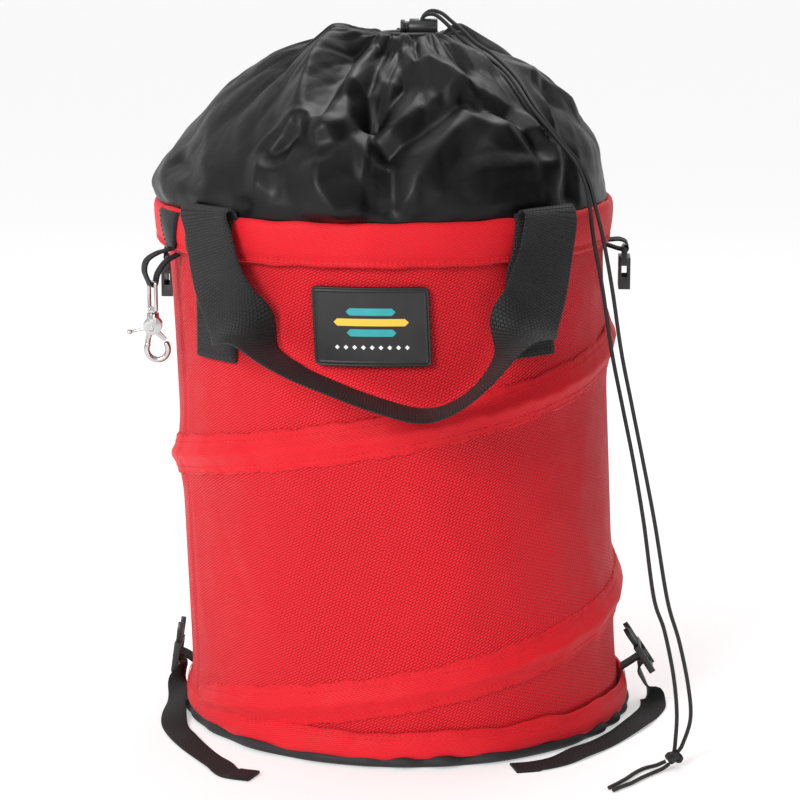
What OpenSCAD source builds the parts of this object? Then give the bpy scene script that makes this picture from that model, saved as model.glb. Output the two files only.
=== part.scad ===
// Collapsible rope storage bag: a red fabric cylinder on a spiral spring wire,
// with a black drawstring collar, two webbing handles, a swivel trigger snap,
// and compression straps with side-release buckles.
// The origin is the middle of the base on the floor, +Z is up and the label faces -Y.
// Azimuths are measured from the front, positive towards +X.

/* [Bag] */
// Height from the floor to the top of the rim
bag_h = 400; // [396:1:404]
// Outside radius of the rim band
rim_r = 175; // [174:0.5:176]
// Outside radius of the fabric wall
wall_r = 167; // [166.5:0.1:167]
// Thickness of the fabric wall
wall_t = 1.8; // [1:0.1:2]
// How far the rim stands to the left of the base
lean = 18; // [12:1:20]
// Height of the band that covers the rim hoop
rim_band_h = 31; // [26:1:31]
// Height of the band that covers the base hoop
base_band_h = 20; // [16:1:20]

/* [Spring] */
// Diameter of the spiral spring wire
wire_d = 3; // [2.5:0.1:3]
// Rise of the spiral for each turn
spiral_pitch = 192; // [188:1:194]
// Height of the sewn channel that holds the spiral
channel_h = 30; // [24:1:30]

/* [Collar] */
// Height of the drawn-up collar above the rim
collar_h = 120; // [117:1:121]
// Thickness of the collar cloth with its gathers
collar_t = 2.4; // [2:0.1:2.6]
// Radius of the gathered mouth
mouth_r = 14; // [12:0.5:14]

/* [Handles] */
// Width of the handle webbing
handle_w = 50; // [44:1:50]
// Thickness of the handle webbing
handle_t = 2.4; // [2:0.1:2.4]
// How far each sewn end runs down from the rim
leg_h = 110; // [90:1:110]

/* [Buckles and snap] */
// Width of the compression strap webbing
strap_w = 20; // [16:1:20]
// Thickness of the compression strap webbing
strap_t = 1.4; // [1:0.1:1.4]
// Outer width of the buckle halves
buckle_w = 27; // [26:0.5:28]
// Diameter of the snap's swivel eye wire
eye_d = 3; // [2.6:0.1:3]
// Diameter of the snap's hook
hook_d = 4.4; // [4:0.1:4.6]

/* [Drawcord] */
// Diameter of the drawcord
cord_d = 3; // [2.5:0.1:3]
// Outside diameter of the cord lock barrel
lock_d = 13; // [12:0.5:13]

/* [Hidden] */
$fn = 96;

fabric_red = "crimson";
cloth_black = [0.08, 0.08, 0.09];
webbing_black = [0.13, 0.13, 0.13];
plastic_black = [0.17, 0.17, 0.18];
chrome_grey = [0.78, 0.78, 0.8];
steel_grey = [0.5, 0.52, 0.55];

// Clearances: a touching gap, a running fit and the gap between bodies
touch = 0.1;
running = 0.06;
apart = 0.3;

// Base
base_panel_t = 3;
base_panel_r = wall_r - wall_t - touch;
piping_d = 5.4;
piping_r = 171;
piping_lift = 0.3;
base_band_z = 6.2;
base_band_r = 174;
hoop_d = 4;
base_hoop_r = 170.6;
base_hoop_z = base_band_z + 7;

// Rim
rim_band_z = bag_h - rim_band_h;
rim_band_t = 6.6;
rim_hoop_r = rim_r - rim_band_t / 2 - 0.1;
rim_hoop_z = bag_h - 7;
wall_top = rim_band_z + 24;

// Spiral: height of the wire's middle at an angle counted from the left side
spiral_z0 = 6;
spiral_first = 70;
spiral_last = 650;
spiral_step = 5;
wire_r = wall_r + wire_d / 2 + 0.8;

// Collar outline: radius and height above the rim, from the sewn edge to the mouth
collar_x = 2;
collar_edge = [[171.5, 0.1], [171.5, 14], [168, 26], [163, 38], [154, 49], [141, 62], [124, 77],
    [104, 93], [84, 103], [62, 111.5], [40, 117.5], [21, 120.5]];
hem_r = 4;
hem_z = bag_h + collar_h - 3;

// Label, between two azimuths
label_w = 84;
label_h = 57;
label_z = 298;
label_az = 1;
label_r = 170.2;
label_t = 2.2;

// Handles: azimuth of each sewn end, and of the snap and its tab
front_left_az = -41;
front_right_az = 44.5;
rear_az = 45;
leg_rim_r = rim_r + apart;
leg_top = bag_h + 2.5;
loop_r = leg_rim_r + handle_t + apart + handle_t / 2;
snap_az = -61;
tab_az = 15;

// Middle line of the front handle from the left end to the right end
front_route = [[-137, -137.2, 403], [-133.6, -142.6, 384], [-127.5, -150, 356], [-115, -161, 332],
    [-96, -178, 314], [-70, -194, 301], [-40, -199, 290], [-10, -199, 280], [20, -197, 273],
    [44, -196, 279], [66, -193, 294], [84, -183, 315], [97, -166, 338], [105, -148, 362],
    [108, -134, 384], [108, -128, 403]];
front_width = [[0.75, -0.66, 0], [0.75, -0.66, 0], [0.78, -0.6, 0.1], [0.88, -0.2, 0.3],
    [0.6, 0.5, 0.45], [0.25, 0.9, 0.3], [0.1, 1, 0.1], [0, 1, 0], [0, 1, 0], [-0.1, 1, 0.1],
    [-0.25, 0.9, 0.3], [-0.55, 0.55, 0.45], [-0.72, -0.15, 0.35], [-0.72, -0.6, 0.1],
    [-0.71, -0.7, 0], [-0.71, -0.7, 0]];

// Half of the rear handle, from its end to the lowest point, seen from behind
rear_half = [[-127, -127, 403], [-126, -130, 384], [-121, -138, 356], [-108, -154, 330],
    [-86, -176, 308], [-56, -190, 292], [-28, -196, 283]];
rear_half_width = [[0.7, -0.7, 0], [0.7, -0.7, 0], [0.75, -0.6, 0.1], [0.85, -0.2, 0.3],
    [0.6, 0.5, 0.45], [0.25, 0.9, 0.3], [0.1, 1, 0.1]];

// Buckles: where each half's bar is, which side it is on and how it leans at rest
bar_d = 3.2;
left_plug_at = [-182, 0, 34];
left_plug_lean = 8;
right_plug_at = [187, 0, 39];
right_plug_lean = 33;
left_socket_at = [-191, 47, 346];
right_socket_at = [166.5, 0, 362];
plug_t = 5;
socket_t = 9;
socket_h = 24;
strap_wrap_r = bar_d / 2 + 0.35 + strap_t / 2;

// Strap tails from the bar to their folded ends
strap_lift = 0.4 + strap_t / 2;
left_tail = [[-177.6, -1, 27.5], [-177.4, -8, 20], [-178, -30, 11], [-177.5, -56, 5],
    [-173, -84, strap_lift], [-163, -112, strap_lift], [-150, -137, strap_lift],
    [-138, -158, strap_lift], [-127, -177, strap_lift], [-117, -193, strap_lift],
    [-99, -200, strap_lift]];
left_tail_width = [[0, 1, 0], [0.1, 1, 0.2], [0.3, 0.9, 0.5], [0.7, 0.3, 0.3], [1, 0.15, 0],
    [0.93, 0.37, 0], [0.88, 0.47, 0], [0.86, 0.5, 0], [0.85, 0.52, 0], [0.7, 0.7, 0],
    [0.3, 0.95, 0]];
right_tail = [[183, 2, 30], [185, 6, 22], [190, 8, 12], [194, 2, 4], [194, -14, strap_lift],
    [188, -36, strap_lift], [180, -58, strap_lift], [167, -84, strap_lift],
    [152, -110, strap_lift], [137, -132, strap_lift], [122, -150, strap_lift],
    [106, -162, strap_lift], [88, -168, strap_lift]];
right_tail_width = [[0, 1, 0], [0, 1, 0.1], [-0.2, 1, 0.2], [-0.7, 0.7, 0.2], [-1, 0.1, 0],
    [-0.96, 0.3, 0], [-0.93, 0.4, 0], [-0.88, 0.5, 0], [-0.84, 0.55, 0], [-0.8, 0.6, 0],
    [-0.7, 0.7, 0], [-0.5, 0.86, 0], [-0.3, 0.95, 0]];

// Snap: its pivot on the strap loop, then heights below the pivot
snap_at = [-184, -87, 344.5];
snap_loop_w = 10;
snap_wrap_r = eye_d / 2 + 0.3 + 0.8;
eye_half_w = 7;
eye_drop = 19.5;
hub_top = 22.8;
hub_drop = 27;
boss_drop = 32;
boss_r = 6.8;
boss_t = 8;
gate_pivot = [-0.8, -33.6];
gate_t = 3;
hook_c = [3, -50];
hook_r = 8;
gate_rivet_d = 2.4;

// Cord lock: the barrel lies along X, and the cords pass up through its slot
lock_at = [2, 0, bag_h + collar_h + 8.2];
lock_len = 21;
lock_slot_x = 9;
plunger_d = 9;
plunger_travel = 3.5;

// Routes of the drawcord's two strands, from under the lock to the knot
cord_left = [[11, -1.7, 522.2], [11, -1.7, 531], [12, -1.8, 535.5], [16, -2.5, 538],
    [22, -4, 537.5], [30, -8, 531.5], [40, -14, 522], [50, -20, 514], [62, -33, 508],
    [78, -54, 496.5], [95, -77, 475], [111, -83, 456], [127, -84, 437], [135, -84, 421],
    [138.5, -86, 405], [142, -95, 380], [149, -101, 344], [156, -107, 300], [164, -113, 262],
    [173, -119, 220], [181, -125, 176], [189, -133, 122], [197, -136, 98], [204, -141, 66],
    [207, -145, 38], [206, -150, 16]];
cord_right = [[11, 1.7, 522.2], [11, 1.7, 531], [12.3, 1.6, 536.5], [18, 1, 540.5],
    [26, -2, 539], [34, -6, 533], [43, -11, 526], [53, -17, 517], [66, -27, 509.5],
    [84, -50, 494], [100, -73, 472], [116, -80, 452], [131, -80, 434], [138.5, -80.5, 419],
    [143, -82, 403], [149, -92, 380], [156, -100, 344], [163, -106, 300], [171, -112, 262],
    [180, -119, 220], [189, -125, 176], [199, -133, 120], [208, -137, 90], [215, -142, 58],
    [217, -146, 34], [211, -151, 15]];
knot_at = [205, -156, 7.3];
knot_r = 7;
left_tail_cord = [[199, -158, 5], [192, -160, 2.4], [184, -165, 1.9], [177, -175, 1.9],
    [170, -189, 1.9], [163, -201, 1.9], [157, -210, 1.9]];
right_tail_cord = [[201, -162, 4], [196, -168, 2.4], [188, -177, 1.9], [180, -188, 1.9],
    [173, -199, 1.9], [166, -207, 1.9], [160, -215, 1.9]];

function unit(v) = v / norm(v);
function centre_x(z) = -lean * z / bag_h;
function on_wall(r, az, z) = [centre_x(z) + r * sin(az), -r * cos(az), z];
function spiral_z(turn) = spiral_z0 + spiral_pitch * turn / 360;
function tangent(p, i) = unit(p[min(i + 1, len(p) - 1)] - p[max(i - 1, 0)]);
function flip_x(v) = [-v[0], v[1], v[2]];
function reversed(list) = [for (i = [len(list) - 1:-1:0]) list[i]];

// Four corners of a strap's section at point i of its route
function strap_ring(p, w, i, width, thick) =
    let (t = tangent(p, i), n = unit(cross(t, w[i])), b = unit(cross(n, t)))
    [p[i] + b * width / 2 + n * thick / 2, p[i] - b * width / 2 + n * thick / 2,
        p[i] - b * width / 2 - n * thick / 2, p[i] + b * width / 2 - n * thick / 2];

// Eight points around a cord's section at point i of its route
function cord_ring(p, i, d) =
    let (t = tangent(p, i), n = unit(cross(t, [0.3, 1, 0.35])), b = cross(t, n))
    [for (a = [0:45:315]) p[i] + (n * cos(a) + b * sin(a)) * d / 2];

// Points halfway along each span of a route, on a smooth curve through its points
function smoothed(p) =
    [for (i = [0:len(p) - 1], h = [0, 1])
        if (h == 0 || i < len(p) - 1)
            h == 0 ? p[i] : (p[i] + p[i + 1]) * 9 / 16
                - (p[max(i - 1, 0)] + p[min(i + 2, len(p) - 1)]) / 16];

// A closed solid through rings of equal size. Each end is a strip between the two halves
// of its ring, so a section may be hollowed as long as its halves face each other
module swept(rings) {
    size = len(rings[0]);
    count = len(rings);
    end = (count - 1) * size;
    sides = [for (k = [0:count - 2], j = [0:size - 1], half = [0, 1])
        let (a = k * size + j, b = k * size + (j + 1) % size)
        half == 0 ? [a, b, b + size] : [a, b + size, a + size]];
    first = [for (j = [0:size / 2 - 2], half = [0, 1])
        half == 0 ? [size - 1 - j, size - 2 - j, j + 1] : [size - 1 - j, j + 1, j]];
    last = [for (t = first) [end + t[2], end + t[1], end + t[0]]];
    polyhedron([for (ring = rings) for (p = ring) p], concat(sides, first, last), 4);
}

module strap(p, w, width, thick) {
    swept([for (i = [0:len(p) - 1]) strap_ring(p, w, i, width, thick)]);
}

module cord(p) {
    route = smoothed(p);
    swept([for (i = [0:len(route) - 1]) cord_ring(route, i, cord_d)]);
}

module ring(radius, d, z) {
    translate([0, 0, z])
        rotate_extrude()
            translate([radius, 0])
                circle(d = d, $fn = 32);
}

// Places children on the bag's side: -Y is outwards, X is around the bag
module at_side(az, p) {
    translate(p)
        rotate([0, 0, az])
            children();
}

// A sector of a ring with a drawn section, centred on an azimuth
module sector(az, angle, x) {
    translate([x, 0, 0])
        rotate([0, 0, az - 90 - angle / 2])
            rotate_extrude(angle = angle)
                children();
}

// ---- Base ----

module base_panel() {
    color(cloth_black)
        cylinder(r = base_panel_r, h = base_panel_t);
}

module base_piping() {
    color(cloth_black)
        ring(piping_r, piping_d, piping_d / 2 + piping_lift);
}

module base_band() {
    top = base_band_z + base_band_h;
    color(fabric_red)
        rotate_extrude()
            difference() {
                polygon([[wall_r + 0.5, base_band_z], [base_band_r - 0.8, base_band_z],
                    [base_band_r, base_band_z + 4], [base_band_r, base_band_z + 11],
                    [wall_r + 2.9, top], [wall_r + 1.5, top]]);
                translate([base_hoop_r, base_hoop_z])
                    circle(d = hoop_d + 2 * touch, $fn = 32);
            }
}

module base_hoop() {
    color(steel_grey)
        ring(base_hoop_r, hoop_d, base_hoop_z);
}

// ---- Wall and spring ----

module wall_panel() {
    facets = 72;
    low = base_panel_t + touch;
    ring_points = [for (k = [0:3], i = [0:facets - 1])
        on_wall(k < 2 ? wall_r : wall_r - wall_t, i * 360 / facets,
            k == 0 || k == 3 ? low : wall_top)];
    sides = [for (k = [0:3], i = [0:facets - 1])
        [k * facets + i, ((k + 1) % 4) * facets + i,
            ((k + 1) % 4) * facets + (i + 1) % facets, k * facets + (i + 1) % facets]];
    color(fabric_red)
        polyhedron(ring_points, sides, 4);
}

module spiral_wire() {
    color(steel_grey)
        swept([for (turn = [spiral_first - spiral_step:spiral_step:spiral_last + spiral_step])
            [for (a = [0:45:315])
                on_wall(wire_r + cos(a) * wire_d / 2, turn - 90,
                    spiral_z(turn) + sin(a) * wire_d / 2)]]);
}

module spiral_channel() {
    half = channel_h / 2;
    pocket = wire_d / 2 + 0.6;
    outer = wire_r + wire_d / 2 + 1.2;
    inner = wall_r + touch;
    section = [[inner, -half], [inner, -pocket], [outer - 0.9, -pocket], [outer - 0.9, pocket],
        [inner, pocket], [inner, half], [inner + 1.1, half], [inner + 1.4, pocket + 4],
        [outer, pocket], [outer, -pocket], [inner + 1.4, -pocket - 4], [inner + 1.1, -half]];
    color(fabric_red)
        swept([for (turn = [spiral_first:spiral_step:spiral_last])
            [for (s = reversed(section)) on_wall(s[0], turn - 90, spiral_z(turn) + s[1])]]);
}

// ---- Rim ----

module rim_band() {
    color(fabric_red)
        translate([-lean, 0, 0])
            rotate_extrude()
                difference() {
                    polygon([[rim_r - rim_band_t + 1.4, rim_band_z], [rim_r - 2.6, rim_band_z],
                        [rim_r, rim_band_z + 14], [rim_r, bag_h - 3], [rim_r - 1.6, bag_h],
                        [rim_r - rim_band_t + 1.6, bag_h], [rim_r - rim_band_t, bag_h - 3],
                        [rim_r - rim_band_t, rim_band_z + 24.4],
                        [rim_r - rim_band_t + 1.4, rim_band_z + 12]]);
                    translate([rim_hoop_r, rim_hoop_z])
                        circle(d = hoop_d + 2 * touch, $fn = 32);
                }
}

module rim_hoop() {
    color(steel_grey)
        translate([-lean, 0, 0])
            ring(rim_hoop_r, hoop_d, rim_hoop_z);
}

module collar() {
    outer = [for (p = collar_edge) [p[0], bag_h + p[1] * collar_h / 120]];
    // The inner line follows the outer one, a cloth's thickness inside it
    inner = [for (i = [0:len(outer) - 1])
        let (t = tangent(outer, i)) outer[i] + [-t[1], t[0]] * collar_t];
    color(cloth_black)
        translate([collar_x - lean, 0, 0])
            rotate_extrude()
                difference() {
                    union() {
                        polygon(concat(outer, reversed(inner)));
                        translate([mouth_r + hem_r, hem_z])
                            circle(r = hem_r, $fn = 32);
                    }
                    translate([mouth_r + hem_r, hem_z])
                        circle(d = cord_d + 2 * touch, $fn = 32);
                }
}

module hem_cord() {
    color(cloth_black)
        translate([collar_x - lean, 0, 0])
            ring(mouth_r + hem_r, cord_d, hem_z);
}

module label_patch() {
    angle = label_w / label_r * 180 / PI;
    color(plastic_black)
        sector(label_az, angle, centre_x(label_z + label_h / 2))
            translate([label_r, label_z])
                square([label_t, label_h]);
}

// ---- Handles ----

module handle_leg(az) {
    angle = handle_w / leg_rim_r * 180 / PI;
    foot = bag_h - leg_h;
    color(webbing_black)
        sector(az, angle, -lean)
            translate([leg_rim_r, foot])
                square([handle_t, leg_top - foot]);
}

module front_left_leg() {
    handle_leg(front_left_az);
}

module front_right_leg() {
    handle_leg(front_right_az);
}

module rear_left_leg() {
    handle_leg(180 + rear_az);
}

module rear_right_leg() {
    handle_leg(180 - rear_az);
}

module front_handle_loop() {
    color(webbing_black)
        strap(front_route, front_width, handle_w, handle_t);
}

module rear_handle_loop() {
    route = concat(rear_half, [[0, -198, 280]], reversed([for (p = rear_half) flip_x(p)]));
    width = concat(rear_half_width, [[0, 1, 0]],
        reversed([for (w = rear_half_width) flip_x(w)]));
    color(webbing_black)
        translate([-lean, 0, 0])
            rotate([0, 0, 180])
                strap(route, width, handle_w, handle_t);
}

// ---- Snap ----

module snap_tab() {
    color(webbing_black)
        sector(snap_az, tab_az, -lean)
            polygon([[rim_r + touch, rim_band_z + 12], [rim_r + 2.2, rim_band_z + 3],
                [rim_r + 2.2, bag_h - 4], [rim_r + touch, bag_h - 3.4]]);
}

module snap_loop() {
    // From under the rim band outwards and down, around the eye's bar and back to the wall
    arc = [for (a = [180:30:360]) snap_wrap_r * [0, cos(a), sin(a)]];
    route = concat([[0, 21.2, 22.4], [0, 14, 23], [0, 4, 21.8], [0, -4, 17], [0, -6, 9]], arc,
        [[0, 4.5, 7], [0, 11, 15], [0, 21.2, 20]]);
    color(webbing_black)
        at_side(snap_az, snap_at)
            strap(route, [for (p = route) [1, 0, 0]], snap_loop_w, 1.6);
}

module rod(a, b, d) {
    span = b - a;
    translate(a)
        rotate([0, acos(span[2] / norm(span)), atan2(span[1], span[0])])
            cylinder(d = d, h = norm(span), $fn = 32);
}

module snap_eye() {
    color(chrome_grey)
        at_side(snap_az, snap_at) {
            rod([-eye_half_w, 0, 0], [eye_half_w, 0, 0], eye_d);
            for (side = [-1, 1]) {
                translate([side * eye_half_w, 0, 0])
                    sphere(d = eye_d, $fn = 32);
                rod([side * eye_half_w, 0, -eye_drop], [side * eye_half_w, 0, 0], eye_d);
                translate([side * eye_half_w, 0, -eye_drop])
                    sphere(d = eye_d, $fn = 32);
            }
            rod([-eye_half_w, 0, -eye_drop], [eye_half_w, 0, -eye_drop], eye_d);
            translate([0, 0, -hub_top + 0.4])
                cylinder(d = 7, h = hub_top - eye_drop, $fn = 48);
            translate([0, 0, -hub_drop - 0.3])
                cylinder(d = 3.8, h = hub_drop - eye_drop, $fn = 48);
            translate([0, 0, -hub_drop - 2.2])
                cylinder(d = 5.6, h = 2, $fn = 48);
        }
}

module snap_body() {
    color(chrome_grey)
        translate(snap_at) {
            difference() {
                union() {
                    translate([0, 0, -boss_drop])
                        cylinder(d = 9.2, h = boss_drop - hub_top, $fn = 48);
                    translate([0, boss_t / 2, -boss_drop])
                        rotate([90, 0, 0])
                            cylinder(r = boss_r, h = boss_t, $fn = 64);
                }
                translate([0, 0, -hub_drop - 1])
                    cylinder(d = 3.8 + 2 * running, h = boss_drop, $fn = 48);
                translate([0, 0, -hub_drop - 2.6])
                    cylinder(d = 6.4, h = 2.6, $fn = 48);
                // Slot for the gate and its spring
                translate([-12, -gate_t / 2 - 0.2, -boss_drop - 12])
                    cube([30, gate_t + 1.8, 13.8]);
                translate([gate_pivot[0], boss_t, gate_pivot[1]])
                    rotate([90, 0, 0])
                        cylinder(d = gate_rivet_d, h = 2 * boss_t, $fn = 48);
            }
            // Hook, stem between the two cheeks, and nose
            translate([hook_c[0], 0, hook_c[1]])
                rotate([90, 0, 0])
                    rotate([0, 0, 148])
                        rotate_extrude(angle = 238)
                            translate([hook_r, 0])
                                circle(d = hook_d, $fn = 32);
            rod([hook_c[0] + hook_r * cos(162), 0, hook_c[1] + hook_r * sin(162)],
                [-3, 0, -38.2], hook_d - 0.3);
            for (y = [-3.8, 2.9])
                translate([-4.4, y, -41.2])
                    cube([3, 0.9, 6.2]);
            translate([-4.4, -3.8, -41.2])
                cube([3, 7.6, 2.4]);
            translate([hook_c[0] + hook_r * cos(28), 0, hook_c[1] + hook_r * sin(28)])
                sphere(d = hook_d + 0.3, $fn = 32);
        }
}

module snap_rivet() {
    color(chrome_grey)
        translate(snap_at + [gate_pivot[0], 0, gate_pivot[1]])
            rotate([90, 0, 0]) {
                cylinder(d = gate_rivet_d, h = boss_t + 1.2, center = true, $fn = 48);
                for (side = [-1, 1])
                    translate([0, 0, side * (boss_t / 2 + 0.55)])
                        cylinder(d = 3.1, h = 0.8, center = true, $fn = 48);
            }
}

module snap_spring() {
    color(steel_grey)
        translate(snap_at + [gate_pivot[0], gate_t / 2 + 0.75, gate_pivot[1]])
            rotate([90, 0, 0])
                rotate_extrude()
                    translate([2.1, 0])
                        circle(d = 0.9, $fn = 24);
}

module snap_gate() {
    tip = [8.6, -42.4];
    color(chrome_grey)
        translate(snap_at) {
            difference() {
                union() {
                    translate([gate_pivot[0], gate_t / 2, gate_pivot[1]])
                        rotate([90, 0, 0])
                            cylinder(r = 2.9, h = gate_t, $fn = 48);
                    translate([0, gate_t / 2, 0])
                        rotate([90, 0, 0])
                            linear_extrude(gate_t)
                                polygon([gate_pivot + [1.2, 2.4], tip + [1.3, 0.6],
                                    tip + [0.4, -1.1], tip + [-1.2, -0.8],
                                    gate_pivot + [-1, -2.5]]);
                    translate([gate_pivot[0], 0, gate_pivot[1]])
                        rotate([0, 258, 0])
                            rotate_extrude($fn = 32)
                                polygon([[0, 0], [1, 0], [1, 15.4], [1.5, 16], [1.8, 17],
                                    [1.8, 17.9], [1.4, 18.7], [0.6, 19.2], [0, 19.2]]);
                }
                translate([gate_pivot[0], gate_t, gate_pivot[1]])
                    rotate([90, 0, 0])
                        cylinder(d = gate_rivet_d + 2 * running, h = 2 * gate_t, $fn = 48);
            }
        }
}

// ---- Compression straps and buckles ----

// Route of a strap around a bar at the origin: it comes from the wall on the +Y side,
// passes over the bar, around its outer side and under it
function wrap_route(from_wall) =
    concat(from_wall, [for (a = [60:30:270]) strap_wrap_r * [0, cos(a), sin(a)]]);

function turned(p, az) = [p[0] * cos(az) - p[1] * sin(az), p[0] * sin(az) + p[1] * cos(az), p[2]];

module buckle_strap(az, bar, from_wall, tail, tail_width) {
    near = [for (p = wrap_route(from_wall)) turned(p, az) + bar];
    near_width = [for (p = near) [0, 1, 0]];
    color(webbing_black)
        strap(concat(near, tail), concat(near_width, tail_width), strap_w, strap_t);
}

module left_strap() {
    buckle_strap(-90, left_plug_at, [[0, 13, -4], [0, 7, 0]], left_tail, left_tail_width);
}

module right_strap() {
    buckle_strap(90, right_plug_at, [[0, 18, -9.5], [0, 9, -3.5]], right_tail, right_tail_width);
}

// Male half: a ladder frame whose bar is at the origin, and prongs that point up
module plug() {
    half = buckle_w / 2;
    rail = (buckle_w - strap_w - 1.6) / 2;
    rotate([90, 0, 0])
        translate([0, 0, -plug_t / 2])
            linear_extrude(plug_t) {
                for (side = [-1, 1])
                    translate([side * (half - rail / 2) - rail / 2, -12])
                        square([rail, 21]);
                translate([-half, 8.6])
                    square([buckle_w, 3.4]);
            }
    for (z = [-10.2, 0])
        rod([-half + rail / 2, 0, z], [half - rail / 2, 0, z], bar_d);
    rotate([90, 0, 0])
        translate([0, 0, -1.9])
            linear_extrude(3.8) {
                for (side = [-1, 1])
                    scale([side, 1])
                        polygon([[6, 11], [9.6, 11], [10.4, 18], [11.6, 21], [11.6, 23],
                            [9, 28], [7.4, 28], [6.6, 20]]);
                translate([-1.5, 11])
                    square([3, 13]);
            }
}

module left_plug() {
    color(plastic_black)
        at_side(-90, left_plug_at)
            rotate([-left_plug_lean, 0, 0])
                plug();
}

module right_plug() {
    color(plastic_black)
        at_side(90, right_plug_at)
            rotate([-right_plug_lean, 0, 0])
                plug();
}

// Female half: its bar is at the origin and its mouth points down
module socket() {
    half = buckle_w / 2;
    rail = 2.6;
    top = -6.6;
    difference() {
        union() {
            translate([-half, -socket_t / 2, top - socket_h])
                cube([buckle_w, socket_t, socket_h]);
            for (side = [-1, 1])
                translate([side * (half - rail / 2) - rail / 2, -2, top - 1])
                    cube([rail, 4, 1 - top]);
        }
        // Mouth and latch chamber
        translate([-half + 1.8, -socket_t / 2 + 1.7, top - socket_h - 1])
            cube([buckle_w - 3.6, socket_t - 3.4, socket_h - 1.6]);
        // Side windows where the prongs' shoulders latch
        translate([-half - 1, -2.2, top - 15])
            cube([buckle_w + 2, 4.4, 9]);
    }
    rod([-half + rail / 2, 0, 0], [half - rail / 2, 0, 0], bar_d);
}

module left_socket() {
    color(plastic_black)
        at_side(-90, left_socket_at)
            socket();
}

module right_socket() {
    color(plastic_black)
        at_side(90, right_socket_at)
            socket();
}

// A short loop that holds a socket's bar: both ends run up to the wall
module socket_loop(az, bar, upper, lower) {
    arc = [for (a = [150:30:330]) strap_wrap_r * [0, cos(a), sin(a)]];
    route = concat(upper, arc, lower);
    color(webbing_black)
        at_side(az, bar)
            strap(route, [for (p = route) [1, 0, 0]], strap_w, strap_t);
}

module left_socket_loop() {
    socket_loop(-90, left_socket_at, [[0, 10.4, 20.5], [0, 5, 18.6], [0, 0, 13], [0, -2, 6]],
        [[0, 4.4, 8], [0, 10.2, 16.6]]);
}

module right_socket_loop() {
    socket_loop(90, right_socket_at, [[0, 15.2, 5.4], [0, 10, 6], [0, 4, 6.4], [0, -1, 4.5]],
        [[0, 6, -0.5], [0, 15.2, 2.6]]);
}

// ---- Cord lock ----

module lock_slot(width) {
    translate([lock_slot_x - width / 2, -4, -20])
        cube([width, 8, 40]);
}

module cord_lock_barrel() {
    color(plastic_black)
        translate(lock_at)
            difference() {
                rotate([0, 90, 0])
                    cylinder(d = lock_d, h = lock_len, $fn = 64);
                translate([-1, 0, 0])
                    rotate([0, 90, 0])
                        cylinder(d = plunger_d + 2 * running, h = lock_len - 1, $fn = 64);
                lock_slot(4);
            }
}

module cord_lock_plunger() {
    color(plastic_black)
        translate(lock_at)
            difference() {
                union() {
                    translate([-plunger_travel - 0.2, 0, 0])
                        rotate([0, 90, 0])
                            cylinder(d = plunger_d, h = 13 + plunger_travel + 0.2, $fn = 64);
                    translate([-plunger_travel - 3.2, 0, 0])
                        rotate([0, 90, 0])
                            cylinder(d = 11.4, h = 3, $fn = 64);
                }
                translate([lock_slot_x - 2 - plunger_travel, -4, -20])
                    cube([4 + plunger_travel, 8, 40]);
            }
}

module cord_lock_spring() {
    turns = 4;
    free = lock_len - 2 - 13.2;
    color(steel_grey)
        translate(lock_at + [13.6, 0, 0])
            swept([for (k = [0:12 * turns])
                let (a = k * 30, x = k * (free - 1) / (12 * turns))
                [for (s = [0:60:300])
                    [x + 0.35 * cos(s), (3 + 0.35 * sin(s)) * cos(a),
                        (3 + 0.35 * sin(s)) * sin(a)]]]);
}

// ---- Drawcord ----

module drawcord_left() {
    color(cloth_black)
        cord(cord_left);
}

module drawcord_right() {
    color(cloth_black)
        cord(cord_right);
}

module drawcord_knot() {
    color(cloth_black)
        translate(knot_at)
            sphere(r = knot_r, $fn = 48);
}

module drawcord_left_tail() {
    color(cloth_black)
        cord(left_tail_cord);
}

module drawcord_right_tail() {
    color(cloth_black)
        cord(right_tail_cord);
}

base_panel();
base_piping();
base_band();
base_hoop();
wall_panel();
spiral_wire();
spiral_channel();
left_strap();
right_strap();
left_plug();
right_plug();
rim_band();
rim_hoop();
collar();
hem_cord();
label_patch();
front_left_leg();
front_right_leg();
rear_left_leg();
rear_right_leg();
front_handle_loop();
rear_handle_loop();
snap_tab();
snap_loop();
snap_eye();
snap_body();
snap_rivet();
snap_spring();
snap_gate();
left_socket_loop();
right_socket_loop();
left_socket();
right_socket();
cord_lock_barrel();
cord_lock_plunger();
cord_lock_spring();
drawcord_left();
drawcord_right();
drawcord_knot();
drawcord_left_tail();
drawcord_right_tail();
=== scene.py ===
# Rope storage bag: its cloth, webbing, cords and hardware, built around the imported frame.
# Everything is in metres: +Z is up, the label faces -Y, and azimuths are counted from the
# front towards +X.
import math

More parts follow.
